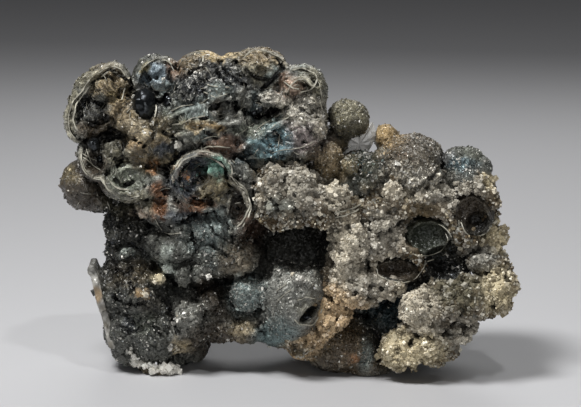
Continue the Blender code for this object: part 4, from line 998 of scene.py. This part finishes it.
def roughen_front(field):
    """Fine granular relief over the whole surface, and small broken blocks at the lower left."""
    cells, points = near_surface(field, 1.0)
    nearest, _, mark = scatter_cells(points, 1.05, 41)
    grains = (0.45 - nearest) * (0.3 + 0.5 * mark)
    field[cells] -= grains * 0.5 + 0.12 * noise(points, 0.9, 43)
    across, up = front_view(points)
    crumbly = (1 - smooth_step(up, 38, 43)) * (1 - smooth_step(across, 50, 54))
    crumbly *= smooth_step(np.hypot(across - 46.0, up - 21.5), 3.6, 4.8)
    block, next_block, lift = scatter_cells(points + 0.5 * noise(points, 1.5, 44)[:, None], 2.6, 45)
    field[cells] -= crumbly * ((lift - 0.5) * 0.7 - 0.8 * np.exp(-(next_block - block) / 0.09))


def make_crust_field():
    """The dolomite crust: lumps covered with granular knobs."""
    field = np.full(SHAPE, FAR, np.float32)
    put_lumps(field, CRUST_LUMPS, LUMP_BLEND)
    relief(field, CRUST_WAVES)
    put_lumps(field, CRUST_WINDOWS + CAVITY, HOLLOW_BLEND, True)
    carve_cracks(field, CRUST_CRACKS)
    cells, points = near_surface(field, 1.6)
    large, _, mark = scatter_cells(points, KNOB_WIDTH, 51)
    field[cells] -= ((0.5 - large) * KNOB_HEIGHT * (0.3 + 0.7 * mark)
                     + 0.5 * noise(points, 1.2, 52))
    small, _, lift = scatter_cells(points, GRAIN_WIDTH, 55)
    field[cells] -= (0.45 - small) * (GRAIN_HEIGHT + 0.6 * lift)
    pits, _, deep = scatter_cells(points, PIT_WIDTH, 53)
    field[cells] += np.where(deep > 0.7, np.clip(0.42 - pits, 0, 1) * PIT_DEPTH, 0)
    field[:, :, AXES[2] <= 0] = FAR
    return field


def net(field):
    """The surface where a field is zero, as places and four-sided faces."""
    inside = field < 0
    inside[[0, -1]] = inside[:, [0, -1]] = inside[:, :, [0, -1]] = False
    size = tuple(count - 1 for count in SHAPE)
    count = np.zeros(size, np.uint8)
    for corner in itertools.product((0, 1), repeat=3):
        count += inside[tuple(slice(c, c + n) for c, n in zip(corner, size))]
    mixed = (count > 0) & (count < 8)
    cells = np.argwhere(mixed)
    number = np.full(size, -1, np.int32)
    number[mixed] = np.arange(len(cells))
    total = np.zeros((len(cells), 3))
    hits = np.zeros(len(cells))
    for axis in range(3):
        others = [other for other in range(3) if other != axis]
        for aside in itertools.product((0, 1), repeat=2):
            offset = np.zeros(3, int)
            offset[others] = aside
            start = cells + offset
            end = start.copy()
            end[:, axis] += 1
            first, last = field[tuple(start.T)], field[tuple(end.T)]
            crossed = inside[tuple(start.T)] != inside[tuple(end.T)]
            share = np.clip(first / np.where(first == last, 1, first - last), 0, 1)
            place = np.tile(offset.astype(float), (len(cells), 1))
            place[:, axis] += share
            total[crossed] += place[crossed]
            hits[crossed] += 1
    places = LOW + (cells + total / hits[:, None]) * STEP
    faces = []
    for axis in range(3):
        one, two = [(axis + 1) % 3, (axis + 2) % 3]
        low = [slice(1, -1)] * 3
        high = [slice(1, -1)] * 3
        low[axis], high[axis] = slice(0, -1), slice(1, None)
        change = inside[tuple(low)].astype(np.int8) - inside[tuple(high)]
        edges = np.argwhere(change != 0)
        outward = change[tuple(edges.T)] > 0
        base = edges + np.array([0 if other == axis else 1 for other in range(3)])
        around = []
        for aside in ((0, 0), (1, 0), (1, 1), (0, 1)):
            cell = base.copy()
            cell[:, one] -= aside[0]
            cell[:, two] -= aside[1]
            around.append(number[tuple(cell.T)])
        quads = np.stack(around, axis=1)
        quads[~outward] = quads[~outward][:, ::-1]
        faces.append(quads)
    return places, np.concatenate(faces)


def largest_part(places, faces):
    """Keeps the largest connected part of a surface."""
    label = np.arange(len(places))
    pairs = np.concatenate([faces[:, [i, (i + 1) % 4]] for i in range(4)])
    while True:
        low = np.minimum(label[pairs[:, 0]], label[pairs[:, 1]])
        new = label.copy()
        np.minimum.at(new, pairs[:, 0], low)
        np.minimum.at(new, pairs[:, 1], low)
        new = new[new]
        if (new == label).all():
            break
        label = new
    names, counts = np.unique(label, return_counts=True)
    keep = label == names[np.argmax(counts)]
    renumber = np.cumsum(keep) - 1
    return places[keep], renumber[faces[keep[faces[:, 0]]]]


def show(name, data):
    """An object of the scene with its data."""
    thing = bpy.data.objects.new(name, data)
    bpy.context.scene.collection.objects.link(thing)
    return thing


def make_mesh(name, places, faces):
    """An object with a mesh of faces that all have the same number of corners."""
    mesh = bpy.data.meshes.new(name)
    mesh.vertices.add(len(places))
    mesh.vertices.foreach_set("co", (np.asarray(places) * MM).astype(np.float32).ravel())
    mesh.loops.add(faces.size)
    mesh.loops.foreach_set("vertex_index", faces.astype(np.int32).ravel())
    mesh.polygons.add(len(faces))
    starts = np.arange(0, faces.size, faces.shape[1], dtype=np.int32)
    mesh.polygons.foreach_set("loop_start", starts)
    mesh.update(calc_edges=True)
    mesh.validate()
    return show(name, mesh)


def read(items, name, width, kind=np.float32):
    """A value of each of a mesh's items, as rows."""
    values = np.empty(len(items) * width, kind)
    items.foreach_get(name, values)
    return values.reshape(-1, width)


def read_mesh(thing):
    """An object's places and normals, in millimetres, and its triangles."""
    mesh = thing.data
    places, normals = (read(mesh.vertices, name, 3) for name in ("co", "normal"))
    mesh.calc_loop_triangles()
    return places / MM, normals, read(mesh.loop_triangles, "vertices", 3, np.int32)


def thin_out(thing, triangles):
    """Brings a mesh down to a number of triangles, and keeps its front finer than its back."""
    places, _, corners = read_mesh(thing)
    if len(corners) <= triangles:
        return
    group = thing.vertex_groups.new(name="coarse")
    behind = places[:, 1] > BACK_STARTS
    for which, weight in ((behind, 1.0), (~behind, 0.5)):
        group.add(np.nonzero(which)[0].tolist(), weight, "REPLACE")
    decimate = thing.modifiers.new("thin out", "DECIMATE")
    decimate.ratio = triangles / len(corners)
    decimate.use_collapse_triangulate = True
    decimate.vertex_group = group.name
    decimate.vertex_group_factor = 0.03
    graph = bpy.context.evaluated_depsgraph_get()
    made = bpy.data.meshes.new_from_object(thing.evaluated_get(graph))
    thing.modifiers.clear()
    thing.vertex_groups.clear()
    thing.data = made


def openness(field, radius):
    """How open the space around each grid point is within about a radius, from 0 to 1."""
    room = (field > 0).astype(np.float32)
    cells = max(1, int(round(radius / STEP / 1.7)))
    for _ in range(3):
        for axis in range(3):
            pad = [(0, 0)] * 3
            pad[axis] = (cells + 1, cells)
            total = np.cumsum(np.pad(room, pad, mode="edge"), axis=axis, dtype=np.float32)
            high = [slice(None)] * 3
            low = [slice(None)] * 3
            high[axis] = slice(2 * cells + 1, None)
            low[axis] = slice(0, -(2 * cells + 1))
            room = (total[tuple(high)] - total[tuple(low)]) / (2 * cells + 1)
    return room


def tone(name):
    """A tone's red, green and blue as linear light."""
    colour = np.array(TONES[name]) / 255
    return np.where(colour < 0.04045, colour / 12.92, ((colour + 0.055) / 1.055) ** 2.4)


def patch_gap(view, patch):
    """How far places of the front view are from a patch's middle: squared, and 1 at its edge."""
    return ((view[0] - patch[0]) / patch[2]) ** 2 + ((view[1] - patch[1]) / patch[3]) ** 2


def patch_colours(points, patches, ground, strength):
    """The colours that patches of the front view give to points, over a ground colour."""
    view = [place + (noise(points, 3.2, seed) * 1.1 + noise(points, 1.2, seed + 1) * 0.7)
            for place, seed in zip(front_view(points), (81, 83))]
    front = smooth_step(-points[:, 1], -9, -3)
    total = ground * strength
    weight = np.full(len(points), float(strength))
    for patch in patches:
        name, share = patch[4:]
        gap = patch_gap(view, patch)
        near = gap < 6
        here = share * np.exp(-gap[near] ** 1.5) * front[near] * 3
        total[near] += here[:, None] * tone(name)
        weight[near] += here
    return total / weight[:, None]


def mix(first, second, share):
    """Colours mixed by a share for each."""
    return first + (second - first) * share[:, None]


def paint(thing, colours):
    """Gives a mesh a colour for each vertex, or one for all."""
    layer = thing.data.color_attributes.new("tint", "FLOAT_COLOR", "POINT")
    full = np.ones((len(layer.data), 4), np.float32)
    full[:, :3] = np.clip(colours, 0, 1)
    layer.data.foreach_set("color", full.ravel())


def read_paint(thing):
    """A mesh's colour for each vertex."""
    return read(thing.data.color_attributes["tint"].data, "color", 4)[:, :3]


def paint_arsenic(thing, near_space, wide_space, rims):
    """The arsenic's colours: patches, painted shade in hollows, pale dust and painted highlight on
    convex edges, rims and layers.
    """
    points, normals, _ = read_mesh(thing)
    ground = mix(tone("grey_dark"), tone("grey"), blotches(points, 7, 91, -0.4, 0.5))
    ground = mix(ground, tone("olive_brown"), 0.7 * blotches(points, 9, 92, 0.15, 0.6))
    ground = mix(ground, tone("teal_grey"), 0.6 * blotches(points, 8, 93, 0.2, 0.6))
    colours = patch_colours(points, ARSENIC_PATCHES, ground, 0.6)
    near = sample(near_space, points + normals * 0.5)
    wide = sample(wide_space, points + normals * 1.0)
    share = block_face(points)
    crest = layers(points)
    colours *= (1 - share * 0.45 * (1 - smooth_step(crest, 0.2, 0.7)))[:, None]
    # Convex edges are made lighter: partly pale dust, partly a painted highlight
    edge = smooth_step(near, 0.7, 0.9) * (0.3 + 0.5 * share)
    colours = mix(colours, 1.5 * colours + 0.22 * tone("dust_and_highlight"), edge)
    rim = 1 - smooth_step(sample(rims, points) + 0.15 * noise(points, 1.2, 97), -0.1, 0.25)
    colours = mix(colours, tone("rim"), rim * 0.4)
    # Painted shade: darker where the space around is closed, in hollows and crevices
    dark = smooth_step(near, 0.38, 0.64) * 0.9 + 0.1
    dark *= smooth_step(wide, 0.2, 0.5) * 0.65 + 0.35
    grain = 1 + 0.35 * noise(points, 0.8, 95) + 0.25 * noise(points, 1.7, 96)
    paint(thing, colours * (ARSENIC_GAIN * dark * grain)[:, None])


def paint_crust(thing, near_space):
    """The crust's colours: patches on a brownish ground and painted shade between the knobs."""
    points, normals, _ = read_mesh(thing)
    ground = mix(tone("brown"), tone("grey_brown"), blotches(points, 4, 101, -0.3, 0.5))
    colours = patch_colours(points, CRUST_PATCHES, ground, 2.5)
    near = sample(near_space, points + normals * 0.5)
    # Painted shade: darker in the gaps between the knobs
    dark = smooth_step(near, 0.4, 0.72) * 1.05 + 0.1
    colours = mix(colours, tone("brown"), blotches(points, 1.6, 102, 0.1, 0.6) * 0.5)
    paint(thing, colours * dark[:, None])


def fill(tree, node, values):
    """Sets a node's inputs, by name or number: each to a value or to another node's output."""
    for name, value in values.items():
        socket = node.inputs[name if isinstance(name, int) else name.replace("_", " ")]
        if isinstance(value, bpy.types.NodeSocket):
            tree.links.new(value, socket)
        else:
            socket.default_value = value


def add(tree, kind, **values):
    """A shader node with its inputs."""
    node = tree.nodes.new("ShaderNode" + kind)
    fill(tree, node, values)
    return node


def vector(tree, operation, *sources, **values):
    """The outcome of a vector operation on sources."""
    node = tree.nodes.new("ShaderNodeVectorMath")
    node.operation = operation
    fill(tree, node, {**values, **dict(enumerate(sources))})
    return node.outputs["Vector"]


def new_material(name, **values):
    """A material with a Principled shader and its inputs: the material, its tree and shader."""
    material = bpy.data.materials.new(name)
    material.use_nodes = True
    shader = material.node_tree.nodes["Principled BSDF"]
    fill(material.node_tree, shader, values)
    return material, material.node_tree, shader


def mineral(name, roughness, metallic, facet, tilt, speck, contrast, bump, shine=0.5):
    """A crystalline mineral: vertex colours under fine specks, and small facets that each face
    their own way. facet and speck are widths in millimetres."""
    material, tree, shader = new_material(name, Roughness=roughness, Metallic=metallic,
                                          Specular_IOR_Level=shine)
    tint = add(tree, "VertexColor")
    tint.layer_name = "tint"
    place = add(tree, "TexCoord").outputs["Object"]
    specks = add(tree, "TexNoise", Vector=place, Scale=1 / (speck * MM), Detail=3.0,
                 Roughness=0.7).outputs["Fac"]
    spread = add(tree, "MapRange", Value=specks, From_Min=0.3, From_Max=0.7, To_Min=1 - contrast,
                 To_Max=1 + contrast)
    shade = vector(tree, "SCALE", tint.outputs["Color"], Scale=spread.outputs["Result"])
    cells = add(tree, "TexVoronoi", Vector=place, Scale=1 / (facet * MM)).outputs["Color"]
    centred = vector(tree, "SUBTRACT", cells, (0.5, 0.5, 0.5))
    leaning = vector(tree, "SCALE", centred, Scale=tilt)
    dents = add(tree, "Bump", Strength=bump, Distance=0.15 * MM, Height=specks)
    facing = vector(tree, "ADD", dents.outputs["Normal"], leaning)
    parts = add(tree, "SeparateColor", Color=cells)
    polish = add(tree, "MapRange", Value=parts.outputs["Red"], From_Min=0.0, From_Max=1.0,
                 To_Min=roughness - 0.25, To_Max=roughness + 0.15)
    fill(tree, shader, {"Base Color": shade, "Normal": vector(tree, "NORMALIZE", facing),
                        "Roughness": polish.outputs["Result"]})
    return material


def finish(thing, material, node=None, smooth=False):
    """Gives a piece its material, shading, body and slot; hides the part that it stands for."""
    thing.data.materials.clear()
    thing.data.materials.append(material)
    thing.data.polygons.foreach_set("use_smooth", np.full(len(thing.data.polygons), smooth))
    thing.data.update()
    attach(thing, "root")
    if node:
        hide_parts(node)


def random_turns(count, rng):
    """Random rotations as matrices."""
    quaternion = rng.normal(size=(count, 4))
    w, x, y, z = (quaternion / np.linalg.norm(quaternion, axis=1)[:, None]).T
    return np.stack((1 - 2 * (y * y + z * z), 2 * (x * y - w * z), 2 * (x * z + w * y),
                     2 * (x * y + w * z), 1 - 2 * (x * x + z * z), 2 * (y * z - w * x),
                     2 * (x * z - w * y), 2 * (y * z + w * x), 1 - 2 * (x * x + y * y)),
                    axis=1).reshape(-1, 3, 3)


def make_crystals(name, groups, crystal, stretch, rng, material):
    """A piece of many small crystals, in groups of places, sizes and colours. Each is turned and
    stretched its own way."""
    spots, sizes, colours = (np.concatenate(each) for each in zip(*groups))
    form, faces = crystal
    turns = random_turns(len(spots), rng)
    stretch = np.exp(rng.uniform(-stretch, stretch, (len(spots), 1, 3)))
    corners = form[None] * stretch * sizes[:, None, None]
    corners = np.einsum("nij,nkj->nki", turns, corners) + spots[:, None]
    corners[:, :, 2] = np.maximum(corners[:, :, 2], CLEAR_OF_FLOOR)
    count = len(form)
    faces = faces[None] + count * np.arange(len(spots))[:, None, None]
    thing = make_mesh(name, corners.reshape(-1, 3), faces.reshape(-1, faces.shape[2]))
    paint(thing, np.repeat(colours, count, axis=0))
    finish(thing, material)


def pick_spots(places, corners, density, rng):
    """Random spots on triangles, as many on a square millimetre as density says for each: places,
    normals and the numbers of vertices beside them."""
    a, b, c = (places[corners[:, i]] for i in range(3))
    cross = np.cross(b - a, c - a)
    area = np.linalg.norm(cross, axis=1) / 2
    normals = cross / np.maximum(area * 2, 1e-9)[:, None]
    wanted = area * density
    count = np.floor(wanted + rng.random(len(wanted))).astype(int)
    which = np.repeat(np.arange(len(wanted)), count)
    u, v = rng.random(len(which)), rng.random(len(which))
    flip = u + v > 1
    u[flip], v[flip] = 1 - u[flip], 1 - v[flip]
    spots = a[which] + u[:, None] * (b - a)[which] + v[:, None] * (c - a)[which]
    return spots, normals[which], corners[which, 0]


def tone_mix(names, count, rng):
    """Random picks from tones, each a little lighter or darker."""
    table = np.array([tone(name) for name in names])
    picks = table[rng.integers(0, len(names), count)]
    return picks * np.exp(rng.normal(0, 0.22, count))[:, None]


def grow_spots(places, corners, density, rng):
    """Random spots as pick_spots gives them, without those that the front view shows inside the
    cups and the dish, which grow no crystals."""
    spots, normals, beside = pick_spots(places, corners, density, rng)
    view = front_view(spots)
    inside = np.zeros(len(spots), bool)
    for part in SMOOTH_PARTS:
        inside |= patch_gap(view, part) < 1
    keep = ~(inside & (spots[:, 1] < 0))
    return spots[keep], normals[keep], beside[keep]


def make_frost(name, skin, near_space, material):
    """The small crystals that cover one of the arsenic's skins, place by place."""
    rng = np.random.default_rng(5)
    groups = []
    ground = read_paint(skin)
    places, _, corners = read_mesh(skin)
    middles = places[corners].mean(axis=1)
    view = front_view(middles)
    bare = 1 - FROST_BLOCK_BARE * block_face(middles)
    clumps = 0.5 + blotches(middles, 1.6, 111, -0.3, 0.3)
    front = FROST_SHARE * bare * clumps * (middles[:, 1] < 3)

    def grow(which, density, size, names):
        grown, normals, beside = grow_spots(places, corners[which], density, rng)
        # Painted shade: crystals in hollows are darker
        dark = smooth_step(sample(near_space, grown + normals * 0.5), 0.35, 0.65) * 0.8 + 0.2
        own = ground[beside] * np.exp(rng.normal(0.1, 0.5, len(grown)))[:, None]
        tints = tone_mix(names, len(grown), rng) * dark[:, None]
        tints = own + (tints - own) * FROST_OWN
        # A share of the crystals is white: white crystals that also stand in as painted glints
        bright = rng.random(len(grown)) < FROST_WHITE_GLINTS
        tints[bright] = tone("white") * rng.uniform(0.5, 1.2, (bright.sum(), 1))
        sizes = size * np.exp(rng.normal(0, 0.3, len(grown)))
        groups.append((grown - normals * 0.05, sizes, tints))

    for patch in FROST:
        number, size, names = patch[4:]
        gap = patch_gap(view, patch)
        which = np.nonzero(gap < 1.4)[0]
        if len(which):
            share = 1 - smooth_step(gap[which], 0.5, 1.4)
            grow(which, number * front[which] * share, size, names)
    density = np.where(middles[:, 1] < 2, FROST_ELSEWHERE * bare, FROST_BEHIND)
    grow(np.arange(len(corners)), density, FROST_SIZE, FROST_TONES)
    make_crystals(name, groups, SHARD, 0.6, rng, material)


def make_crust_grains(skin, near, wide, material):
    """The dolomite rhombs over the crust, thinner in its gaps, with painted shade there."""
    rng = np.random.default_rng(6)
    places, normals, corners = read_mesh(skin)
    middles = places[corners].mean(axis=1)
    gaps = smooth_step(sample(near, middles + normals[corners[:, 0]] * 0.5), 0.4, 0.62)
    density = np.where(middles[:, 1] < -6, RHOMBS_FRONT, RHOMBS_BEHIND) * (0.2 + 0.8 * gaps)
    spots, normals, _ = grow_spots(places, corners, density, rng)
    sizes = np.minimum(RHOMB_SIZE * np.exp(rng.normal(0, 0.42, len(spots))), RHOMB_LARGEST)
    ground = tone_mix(RHOMB_TONES, len(spots), rng)
    colours = patch_colours(spots, CRUST_PATCHES, ground, 1.4)
    # Painted shade: the rhombs are darker in the crust's gaps and hollows
    shade = smooth_step(sample(near, spots + normals * 0.5), 0.46, 0.78) * 0.85 + 0.15
    shade *= smooth_step(sample(wide, spots + normals), 0.3, 0.65) * 0.5 + 0.5
    vary = rng.normal(0, 0.42, len(spots))
    colours = mix(colours, tone("white"), smooth_step(vary, 0.1, 0.9) * 0.35)
    colours = mix(colours, tone("brown"), smooth_step(-vary, 0.2, 0.9) * 0.6)
    colours = colours * (shade * np.exp(vary * 0.55 + 0.05))[:, None]
    make_crystals("dolomite_rhombs", [(spots + normals * 0.12, sizes, colours)], RHOMB, 0.35, rng,
                  material)


def make_pale_crystals(fields, material):
    """The single calcite crystals, and the bright row along the lower left foot."""
    rng = np.random.default_rng(7)
    both = np.minimum(*fields)
    groups = []
    for across, up, size, name in PALE_CRYSTALS:
        count = 5 if size > 1 else 3
        middle = seen((across, up, face_depth(both, across, up)))[0]
        groups.append((middle + rng.normal(0, 0.28 * size, (count, 3)) * (1, 0.6, 1),
                       size * rng.uniform(0.45, 0.8, count), tone_mix((name,), count, rng)))
    for across, up, size in FOOT_CALCITE:
        middle = seen((across, up, face_depth(both, across, up) + 0.2))[0]
        groups.append((middle + rng.normal(0, 0.4 * size, (FOOT_CRYSTALS, 3)) * (1.2, 1, 0.7),
                       size * rng.uniform(0.4, 0.95, FOOT_CRYSTALS),
                       1.05 * tone_mix(("white",), FOOT_CRYSTALS, rng)))
    make_crystals("calcite_crystals", groups, RHOMB, 0.45, rng, material)


def shell_edges(rng):
    """Short bent lines of the front view, each along a layer of the broken shells near it."""
    centres = np.array(LAYER_CENTRES, float)[:, :2]
    lines = []
    while len(lines) < SHELL_EDGES:
        place = rng.uniform((2, 38), (65, 80))
        away = place - centres
        reach = np.linalg.norm(away, axis=1)
        nearest = reach.argmin()
        angle = math.atan2(*away[nearest][::-1])
        half_turn = rng.uniform(0.4, 1.5) / max(reach[nearest], 1.0)
        turns = angle + np.linspace(-half_turn, half_turn, 5)
        radius = reach[nearest] * (1 + rng.uniform(-0.15, 0.15) * np.linspace(-1, 1, 5))
        path = centres[nearest] + np.column_stack((np.cos(turns), np.sin(turns))) * radius[:, None]
        if place[1] > 43 or place[0] > 38:
            half_width, stand = rng.uniform(0.06, 0.11), rng.uniform(0.05, 0.25)
            lines.append((half_width, stand, rng.uniform(0.2, 0.6), path))
    return lines


def make_thin_rims(field, material):
    """The thin pale edges of the broken shells, as narrow walls that rise and sink in the face."""
    rng = np.random.default_rng(8)
    places, faces, colours, offset = [], [], [], 0
    edges = [(half_width, stand, FINE_RIM_STRENGTH, spots)
             for half_width, stand, *spots in FINE_RIMS]
    for half_width, stand, share, spots in edges + shell_edges(rng):
        line = smooth_path(spots, 0.3)
        raised = np.column_stack((line, np.zeros(len(line))))
        line = line + 0.22 * noises(raised, (1.7, 1.7), 151)
        depths = np.sort(neighbours(face_depths(field, line, 50), 3), axis=0)[1]
        depths = sum(neighbours(depths, 2)) / 5
        known = depths < 4
        if known.mean() < 0.5:
            continue
        run = np.gradient(line, axis=0)
        aside = np.column_stack((-run[:, 1], run[:, 0])) / np.linalg.norm(run, axis=1)[:, None]
        rise = blotches(raised, 2.4, 153, -0.6, -0.2)
        rise[0] = rise[-1] = 0
        if not known.all():
            line, depths, aside, rise, raised = (
                each[known] for each in (line, depths, aside, rise, raised))
        width = half_width * (0.75 + 0.5 * noise(raised, 1.1, 154))[:, None]
        width = width * (0.4 + 0.6 * rise)[:, None]
        front = depths - stand * rise + 0.5 * (1 - rise)
        ring = [np.column_stack((line + side * aside * width * wider, front + behind))
                for side, wider, behind in RIM_SECTION]
        count = len(line)
        places.append(seen(np.concatenate(ring)))
        for side in range(4):
            first = offset + side * count + np.arange(count - 1)
            other = offset + (side + 1) % 4 * count + np.arange(count - 1)
            faces.append(np.column_stack((first, first + 1, other + 1, other)))
        tones = tone("rim_light") * share * (1 + 0.4 * noise(raised, 0.9, 155))[:, None]
        colours.append(np.tile(tones, (4, 1)))
        offset += 4 * count
    thing = make_mesh("thin_rims", np.concatenate(places), np.concatenate(faces))
    paint(thing, np.concatenate(colours))
    finish(thing, material)


def make_skin(name, field, triangles):
    """A field's surface as an object of at most a number of triangles."""
    thing = make_mesh(name, *largest_part(*net(field)))
    thin_out(thing, triangles)
    return thing


def make_arsenic_skins(field):
    """The arsenic's surface in two objects that overlap a little: the upper left block, and all
    the rest."""
    inside = np.maximum(AXES[0][:, None, None] - BLOCK_RIGHT, BLOCK_BOTTOM - AXES[2][None, None, :])
    return [make_skin("arsenic_block", np.maximum(field, inside), SKIN_TRIANGLES),
            make_skin("arsenic_rest", np.maximum(field, -inside - BLOCK_OVERLAP), SKIN_TRIANGLES)]


def make_glossy_balls(field, material):
    """The glossy black balls in the hollows."""
    shape = bmesh.new()
    bmesh.ops.create_icosphere(shape, subdivisions=4, radius=1)
    shape.verts.index_update()
    ball = np.array([vert.co for vert in shape.verts], np.float32)
    triangles = np.array([[vert.index for vert in face.verts] for face in shape.faces])
    shape.free()
    places, faces = [], []
    for number, (across, up, width, depth, height, stand) in enumerate(GLOSSY_BALLS):
        lumps = 1 + 0.07 * noise(ball * 3 + across, 1.0, 121)
        middle = seen((across, up, face_depth(field, across, up) - stand + 0.4))[0]
        places.append(ball * lumps[:, None] * (width, depth, height) + middle)
        faces.append(triangles + number * len(ball))
    thing = make_mesh("glossy_balls", np.concatenate(places), np.concatenate(faces))
    paint(thing, tone("druse") * 1.5)
    finish(thing, material, smooth=True)


def make_rind(material):
    """The ribbed white calcite on the left edge, with its orange spot and dark top."""
    field = np.full(SHAPE, FAR, np.float32)
    outline = np.array(RIND_OUTLINE)
    half = len(outline) // 2
    middle = (outline[:half] + outline[::-1][:half]) / 2
    front = RIND_DEPTH - RIND_THICKNESS / 2 + RIND_HALF_WIDTH
    back = RIND_THICKNESS - 2 * RIND_HALF_WIDTH
    path = seen([(across, up, front) for across, up in smooth_path(middle, 1.0)])
    put_wall(field, path, RIND_HALF_WIDTH, back, RIM_BLEND, uneven=0.05)
    cells, points = near_surface(field, 1.5)
    reach = (RIND_THICKNESS / 2 - 1.5 + 1.7 * noise(points * (0, 0, 1), 2.6, 137)
             + 0.5 * noise(points, 1.2, 138))
    field[cells] = np.maximum(field[cells], np.abs(points[:, 1] - RIND_DEPTH) - reach)
    ribs = np.sin((points[:, 0] * 2.2 + points[:, 2] * 0.6 + noise(points, 3, 131)) * 2.4)
    field[cells] -= 0.08 * ribs + 0.12 * noise(points, 2.2, 132) + 0.12 * noise(points, 1.0, 133)
    thing = make_skin("rind", field, RIND_TRIANGLES)
    points = read_mesh(thing)[0]
    across, up = front_view(points)
    colours = mix(tone("white"), tone("cream_grey"), blotches(points, 1.4, 134, -0.2, 0.6))
    spot = 1 - smooth_step(np.hypot((across - 8.4) / 1.8, (up - 21.0) / 2.4), 0.6, 1.2)
    colours = mix(colours, tone("tan_orange") * 1.5, spot * 0.85)
    top = smooth_step(up + 2 * noise(points, 1.0, 135), 25.0, 28.0)
    colours = mix(colours, tone("grey_dark"), top * 0.6)
    paint(thing, colours * (0.5 + 0.18 * noise(points, 0.9, 136))[:, None])
    finish(thing, material, "calcite_rind")


def make_blade(material):
    """The clear calcite blade, with cleavage faces that step back to its edges."""
    outline = smooth_path(BLADE_OUTLINE + BLADE_OUTLINE[:1], 1.2)[:-1]
    middle = outline.mean(axis=0)
    places = []
    for share, depth in BLADE_STEPS:
        ring = middle + (outline - middle) * share
        ripple = 0.12 * np.sin(np.arange(len(ring)) * 2.4)
        depths = BLADE_DEPTH + depth * BLADE_THICKNESS / 2 + ripple
        places.append(seen(np.column_stack((ring, depths))))
    for side in (-1, 1):
        places.append(seen((*middle, BLADE_DEPTH + side * BLADE_THICKNESS * 0.52)))
    count = len(outline)
    first = len(BLADE_STEPS) * count
    faces = []
    for i in range(count):
        after = (i + 1) % count
        faces.append((first, after, i))
        faces.append((first + 1, first - count + i, first - count + after))
        for ring in range(len(BLADE_STEPS) - 1):
            low, high = ring * count, (ring + 1) * count
            faces += [(low + i, low + after, high + after), (low + i, high + after, high + i)]
    thing = make_mesh("blade", np.concatenate(places), np.array(faces))
    paint(thing, tone("white"))
    finish(thing, material, "calcite_blade")


def clear_calcite():
    """Clear calcite, cloudy with fine cleavage."""
    material, tree, shader = new_material("clear_calcite", Roughness=0.22, IOR=1.56,
                                          Transmission_Weight=0.55,
                                          Base_Color=(0.80, 0.79, 0.76, 1))
    place = add(tree, "TexCoord").outputs["Object"]
    streaks = add(tree, "TexWave", Vector=place, Scale=420.0, Distortion=5.0, Detail=3.0)
    dents = add(tree, "Bump", Strength=0.25, Distance=0.1 * MM, Height=streaks.outputs["Fac"])
    fill(tree, shader, {"Normal": dents.outputs["Normal"]})
    return material


def make_stage():
    """The floor, the lights and the camera."""
    corners = np.array(((-1, -1, 0), (1, -1, 0), (1, 1, 0), (-1, 1, 0)))
    floor = make_mesh("floor", corners * FLOOR_HALF, np.array(((0, 1, 2, 3),)))
    floor.data.materials.append(new_material("floor", Roughness=0.5, Base_Color=FLOOR_COLOUR)[0])

    for name, place, aim, size, power in LIGHTS:
        lamp = bpy.data.lights.new(name, "AREA")
        lamp.shape = "RECTANGLE"
        lamp.size, lamp.size_y = size
        lamp.energy = power
        light = show(name, lamp)
        light.location = place
        aim = Vector(np.subtract(aim, place))
        light.rotation_euler = aim.to_track_quat("-Z", "Y").to_euler()
    world = bpy.data.worlds.new("studio")
    world.use_nodes = True
    fill(world.node_tree, world.node_tree.nodes["Background"],
         {"Color": WORLD_COLOUR, "Strength": WORLD_STRENGTH})
    scene = bpy.context.scene
    scene.world = world

    camera = show("camera", bpy.data.cameras.new("camera"))
    camera.data.sensor_width = SENSOR
    camera.data.lens = VIEW_DISTANCE / VIEW_WIDTH * SENSOR
    camera.data.clip_start = 0.01
    camera.location = EYE * MM
    camera.rotation_euler = (math.radians(90) - VIEW_ELEVATION, 0, 0)
    scene.camera = camera
    scene.view_settings.view_transform = "Standard"


def main():
    make_stage()
    arsenic_field, rims = make_arsenic_field()
    crust_field = make_crust_field()
    skins = make_arsenic_skins(arsenic_field)
    near_arsenic, wide_arsenic = (openness(arsenic_field, reach)
                                  for reach in (NEAR_SPACE, WIDE_SPACE))
    near_crust, wide_crust = (openness(crust_field, reach)
                              for reach in (NEAR_SPACE, CRUST_WIDE_SPACE))
    for skin in skins:
        paint_arsenic(skin, near_arsenic, wide_arsenic, rims)
    crust = make_skin("crust_surface", crust_field, CRUST_TRIANGLES)
    paint_crust(crust, near_crust)
    look = {name: mineral(name, *values) for name, *values in MINERALS}
    finish(skins[0], look["arsenic_shell"], "arsenic_mass")
    finish(skins[1], look["arsenic"], "arsenic_mass")
    finish(crust, look["dolomite"], "dolomite_crust")
    make_thin_rims(np.minimum(arsenic_field, crust_field), look["shell_rim"])
    make_frost("frost_block", skins[0], near_arsenic, look["arsenic"])
    make_frost("frost_rest", skins[1], near_arsenic, look["arsenic"])
    make_crust_grains(crust, near_crust, wide_crust, look["dolomite"])
    make_pale_crystals((arsenic_field, crust_field), look["calcite"])
    make_glossy_balls(arsenic_field, look["glossy_arsenic"])
    make_rind(look["calcite"])
    make_blade(clear_calcite())


main()
